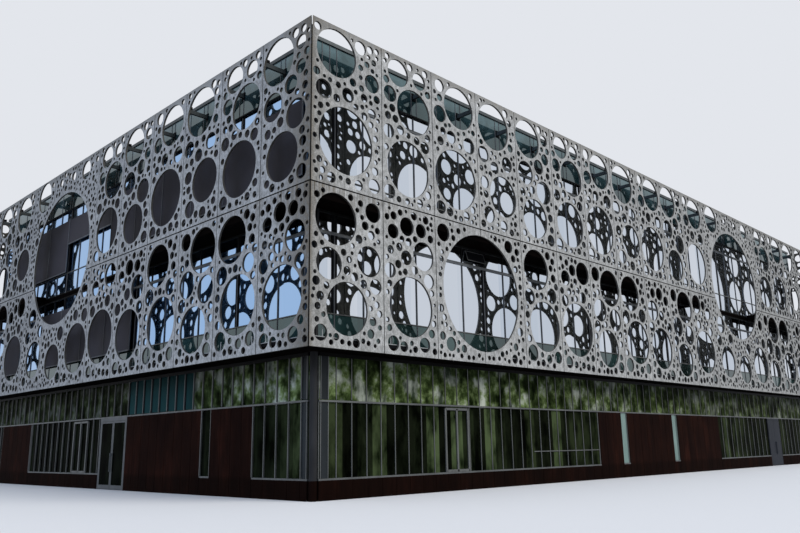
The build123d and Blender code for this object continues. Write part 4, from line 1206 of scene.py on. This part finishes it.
for face in SEEN:
    for start, end in ((WALL_END, DOORWAY[face][0]), (DOORWAY[face][1], RUN[face] - WALL_END)):
        closed = [s for s in BROWN[face] if start - 1 <= s[0] and s[1] <= end + 1]
        stops = [start, *(edge for stretch in closed for edge in stretch), end]
        base = [(a, b) for a, b in zip(stops[::2], stops[1::2]) if b - a > 1]
        for stretches, top in ((base, SILL), (closed, TRANSOM)):
            for stretch in stretches:
                add_trays(face, *stretch, top)
for face in ("back", "far"):
    add_trays(face, WALL_END, RUN[face] - WALL_END, TRANSOM)
make_bars("brown_cladding", brown_trays=brown_steel)

# %% [markdown]
# The CAD pieces that stay in view get their finishes by assignment, which leaves their meshes
# alone. Everything in the gallery behind the screen is nearly black, painted shade.

# %% Finishes of the CAD pieces


def finish_nodes(material, *nodes):
    """Gives CAD nodes their finish."""
    for node in nodes:
        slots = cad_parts[node].data.materials
        slots.clear()
        slots.append(material)


for face in FACES:
    finish_nodes(mirror_glass["front" if face in ("front", "back") else "side"], f"{face}_upper_glass")
    finish_nodes(hall_glass, f"{face}_ground_glass")
    finish_nodes(beam_steel, f"{face}_brackets")
    finish_nodes(cap_metal, f"{face}_parapet")
    finish_nodes(brown_steel, f"{face}_brown_wall")
finish_nodes(brown_steel, "front_base_wall", "side_base_wall", "base_corners")
finish_nodes(painted_shade_soffit, "ground_floor", "first_floor", "second_floor", "front_gallery_deck",
             "side_gallery_deck")
finish_nodes(wall_rail, "front_ground_rails", "side_ground_rails")
finish_nodes(door_metal, "side_door_frame", "side_door_near_leaf", "side_door_far_leaf")
finish_nodes(hall_glass, "side_door_near_leaf_pane", "side_door_far_leaf_pane")
finish_nodes(grey_paint, "front_door_frame", "front_door_near_leaf", "front_door_far_leaf")
finish_nodes(column_metal, "corner_columns")
finish_nodes(felt, "roof_slab")
print("CAD nodes in the frame:", len(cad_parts))

# %% [markdown]
# The stage: a pale floor, an even pale surround and soft lamps, as in a studio. The camera and the
# mirrors see the background pale, while the light that falls on the object stays at a plain level.
# The long front gets a little warm light and the short side a little cool light, as in the picture.

# %% Floor
FLOOR_HALF = 30.0


def pale_floor():
    """A plain floor that looks pale and throws back less light than it seems to."""
    material, tree, body, _ = new_finish("pale_studio_floor", Roughness=0.9)
    path = add_node(tree, "LightPath").outputs
    shown = add_node(tree, "Math", {0: path["Is Camera Ray"], 1: path["Is Glossy Ray"]}, operation="MAXIMUM")
    colour = add_node(tree, "Mix", {0: shown.outputs[0], 6: linear("#77777a"), 7: linear("#d4d5d6")},
                      data_type="RGBA")
    tree.links.new(colour.outputs[2], body.inputs["Base Color"])
    return material


floor_mesh = bpy.data.meshes.new("studio_floor")
floor_corners = [(-FLOOR_HALF, -FLOOR_HALF, 0), (FLOOR_HALF, -FLOOR_HALF, 0), (FLOOR_HALF, FLOOR_HALF, 0),
                 (-FLOOR_HALF, FLOOR_HALF, 0)]
floor_mesh.from_pydata(floor_corners, [], [(0, 1, 2, 3)])
floor_mesh.materials.append(pale_floor())
studio_floor = bpy.data.objects.new("studio_floor", floor_mesh)
scene.collection.objects.link(studio_floor)
print("floor", 2 * FLOOR_HALF, "m wide")

# %% Surround and lamps
SUN_WIDE = 35

world = bpy.data.worlds.new("studio_surround")
scene.world = world
world.use_nodes = True
surround = world.node_tree
surround.nodes.clear()
path = add_node(surround, "LightPath").outputs
seen = path["Is Camera Ray"]
for ray in ("Is Glossy Ray", "Is Transmission Ray"):
    seen = add_node(surround, "Math", {0: seen, 1: path[ray]}, operation="MAXIMUM").outputs[0]
lit = add_node(surround, "Background", {"Color": linear("#dfe4ee"), "Strength": 0.75})
shown = add_node(surround, "Background", {"Color": linear("#e3e6ec"), "Strength": 1.0})
both = add_node(surround, "MixShader", {0: seen, 1: lit.outputs[0], 2: shown.outputs[0]})
add_node(surround, "OutputWorld", {"Surface": both.outputs[0]})


def soft_sun(name, azimuth, elevation, strength, colour):
    """A lamp far away, wide enough to leave soft shadows. Azimuth turns from +X towards +Y."""
    lamp = bpy.data.lights.new(name, "SUN")
    lamp.energy, lamp.color, lamp.angle = strength, linear(colour)[:3], math.radians(SUN_WIDE)
    item = bpy.data.objects.new(name, lamp)
    a, e = math.radians(azimuth), math.radians(elevation)
    towards = Vector((math.cos(a) * math.cos(e), math.sin(a) * math.cos(e), math.sin(e)))
    item.rotation_euler = towards.to_track_quat("Z", "Y").to_euler()
    scene.collection.objects.link(item)


soft_sun("warm_key", -75, 40, 2.0, "#fffaf2")
soft_sun("cool_fill", -165, 35, 1.35, "#c8dcff")
print("surround and lamps ready")
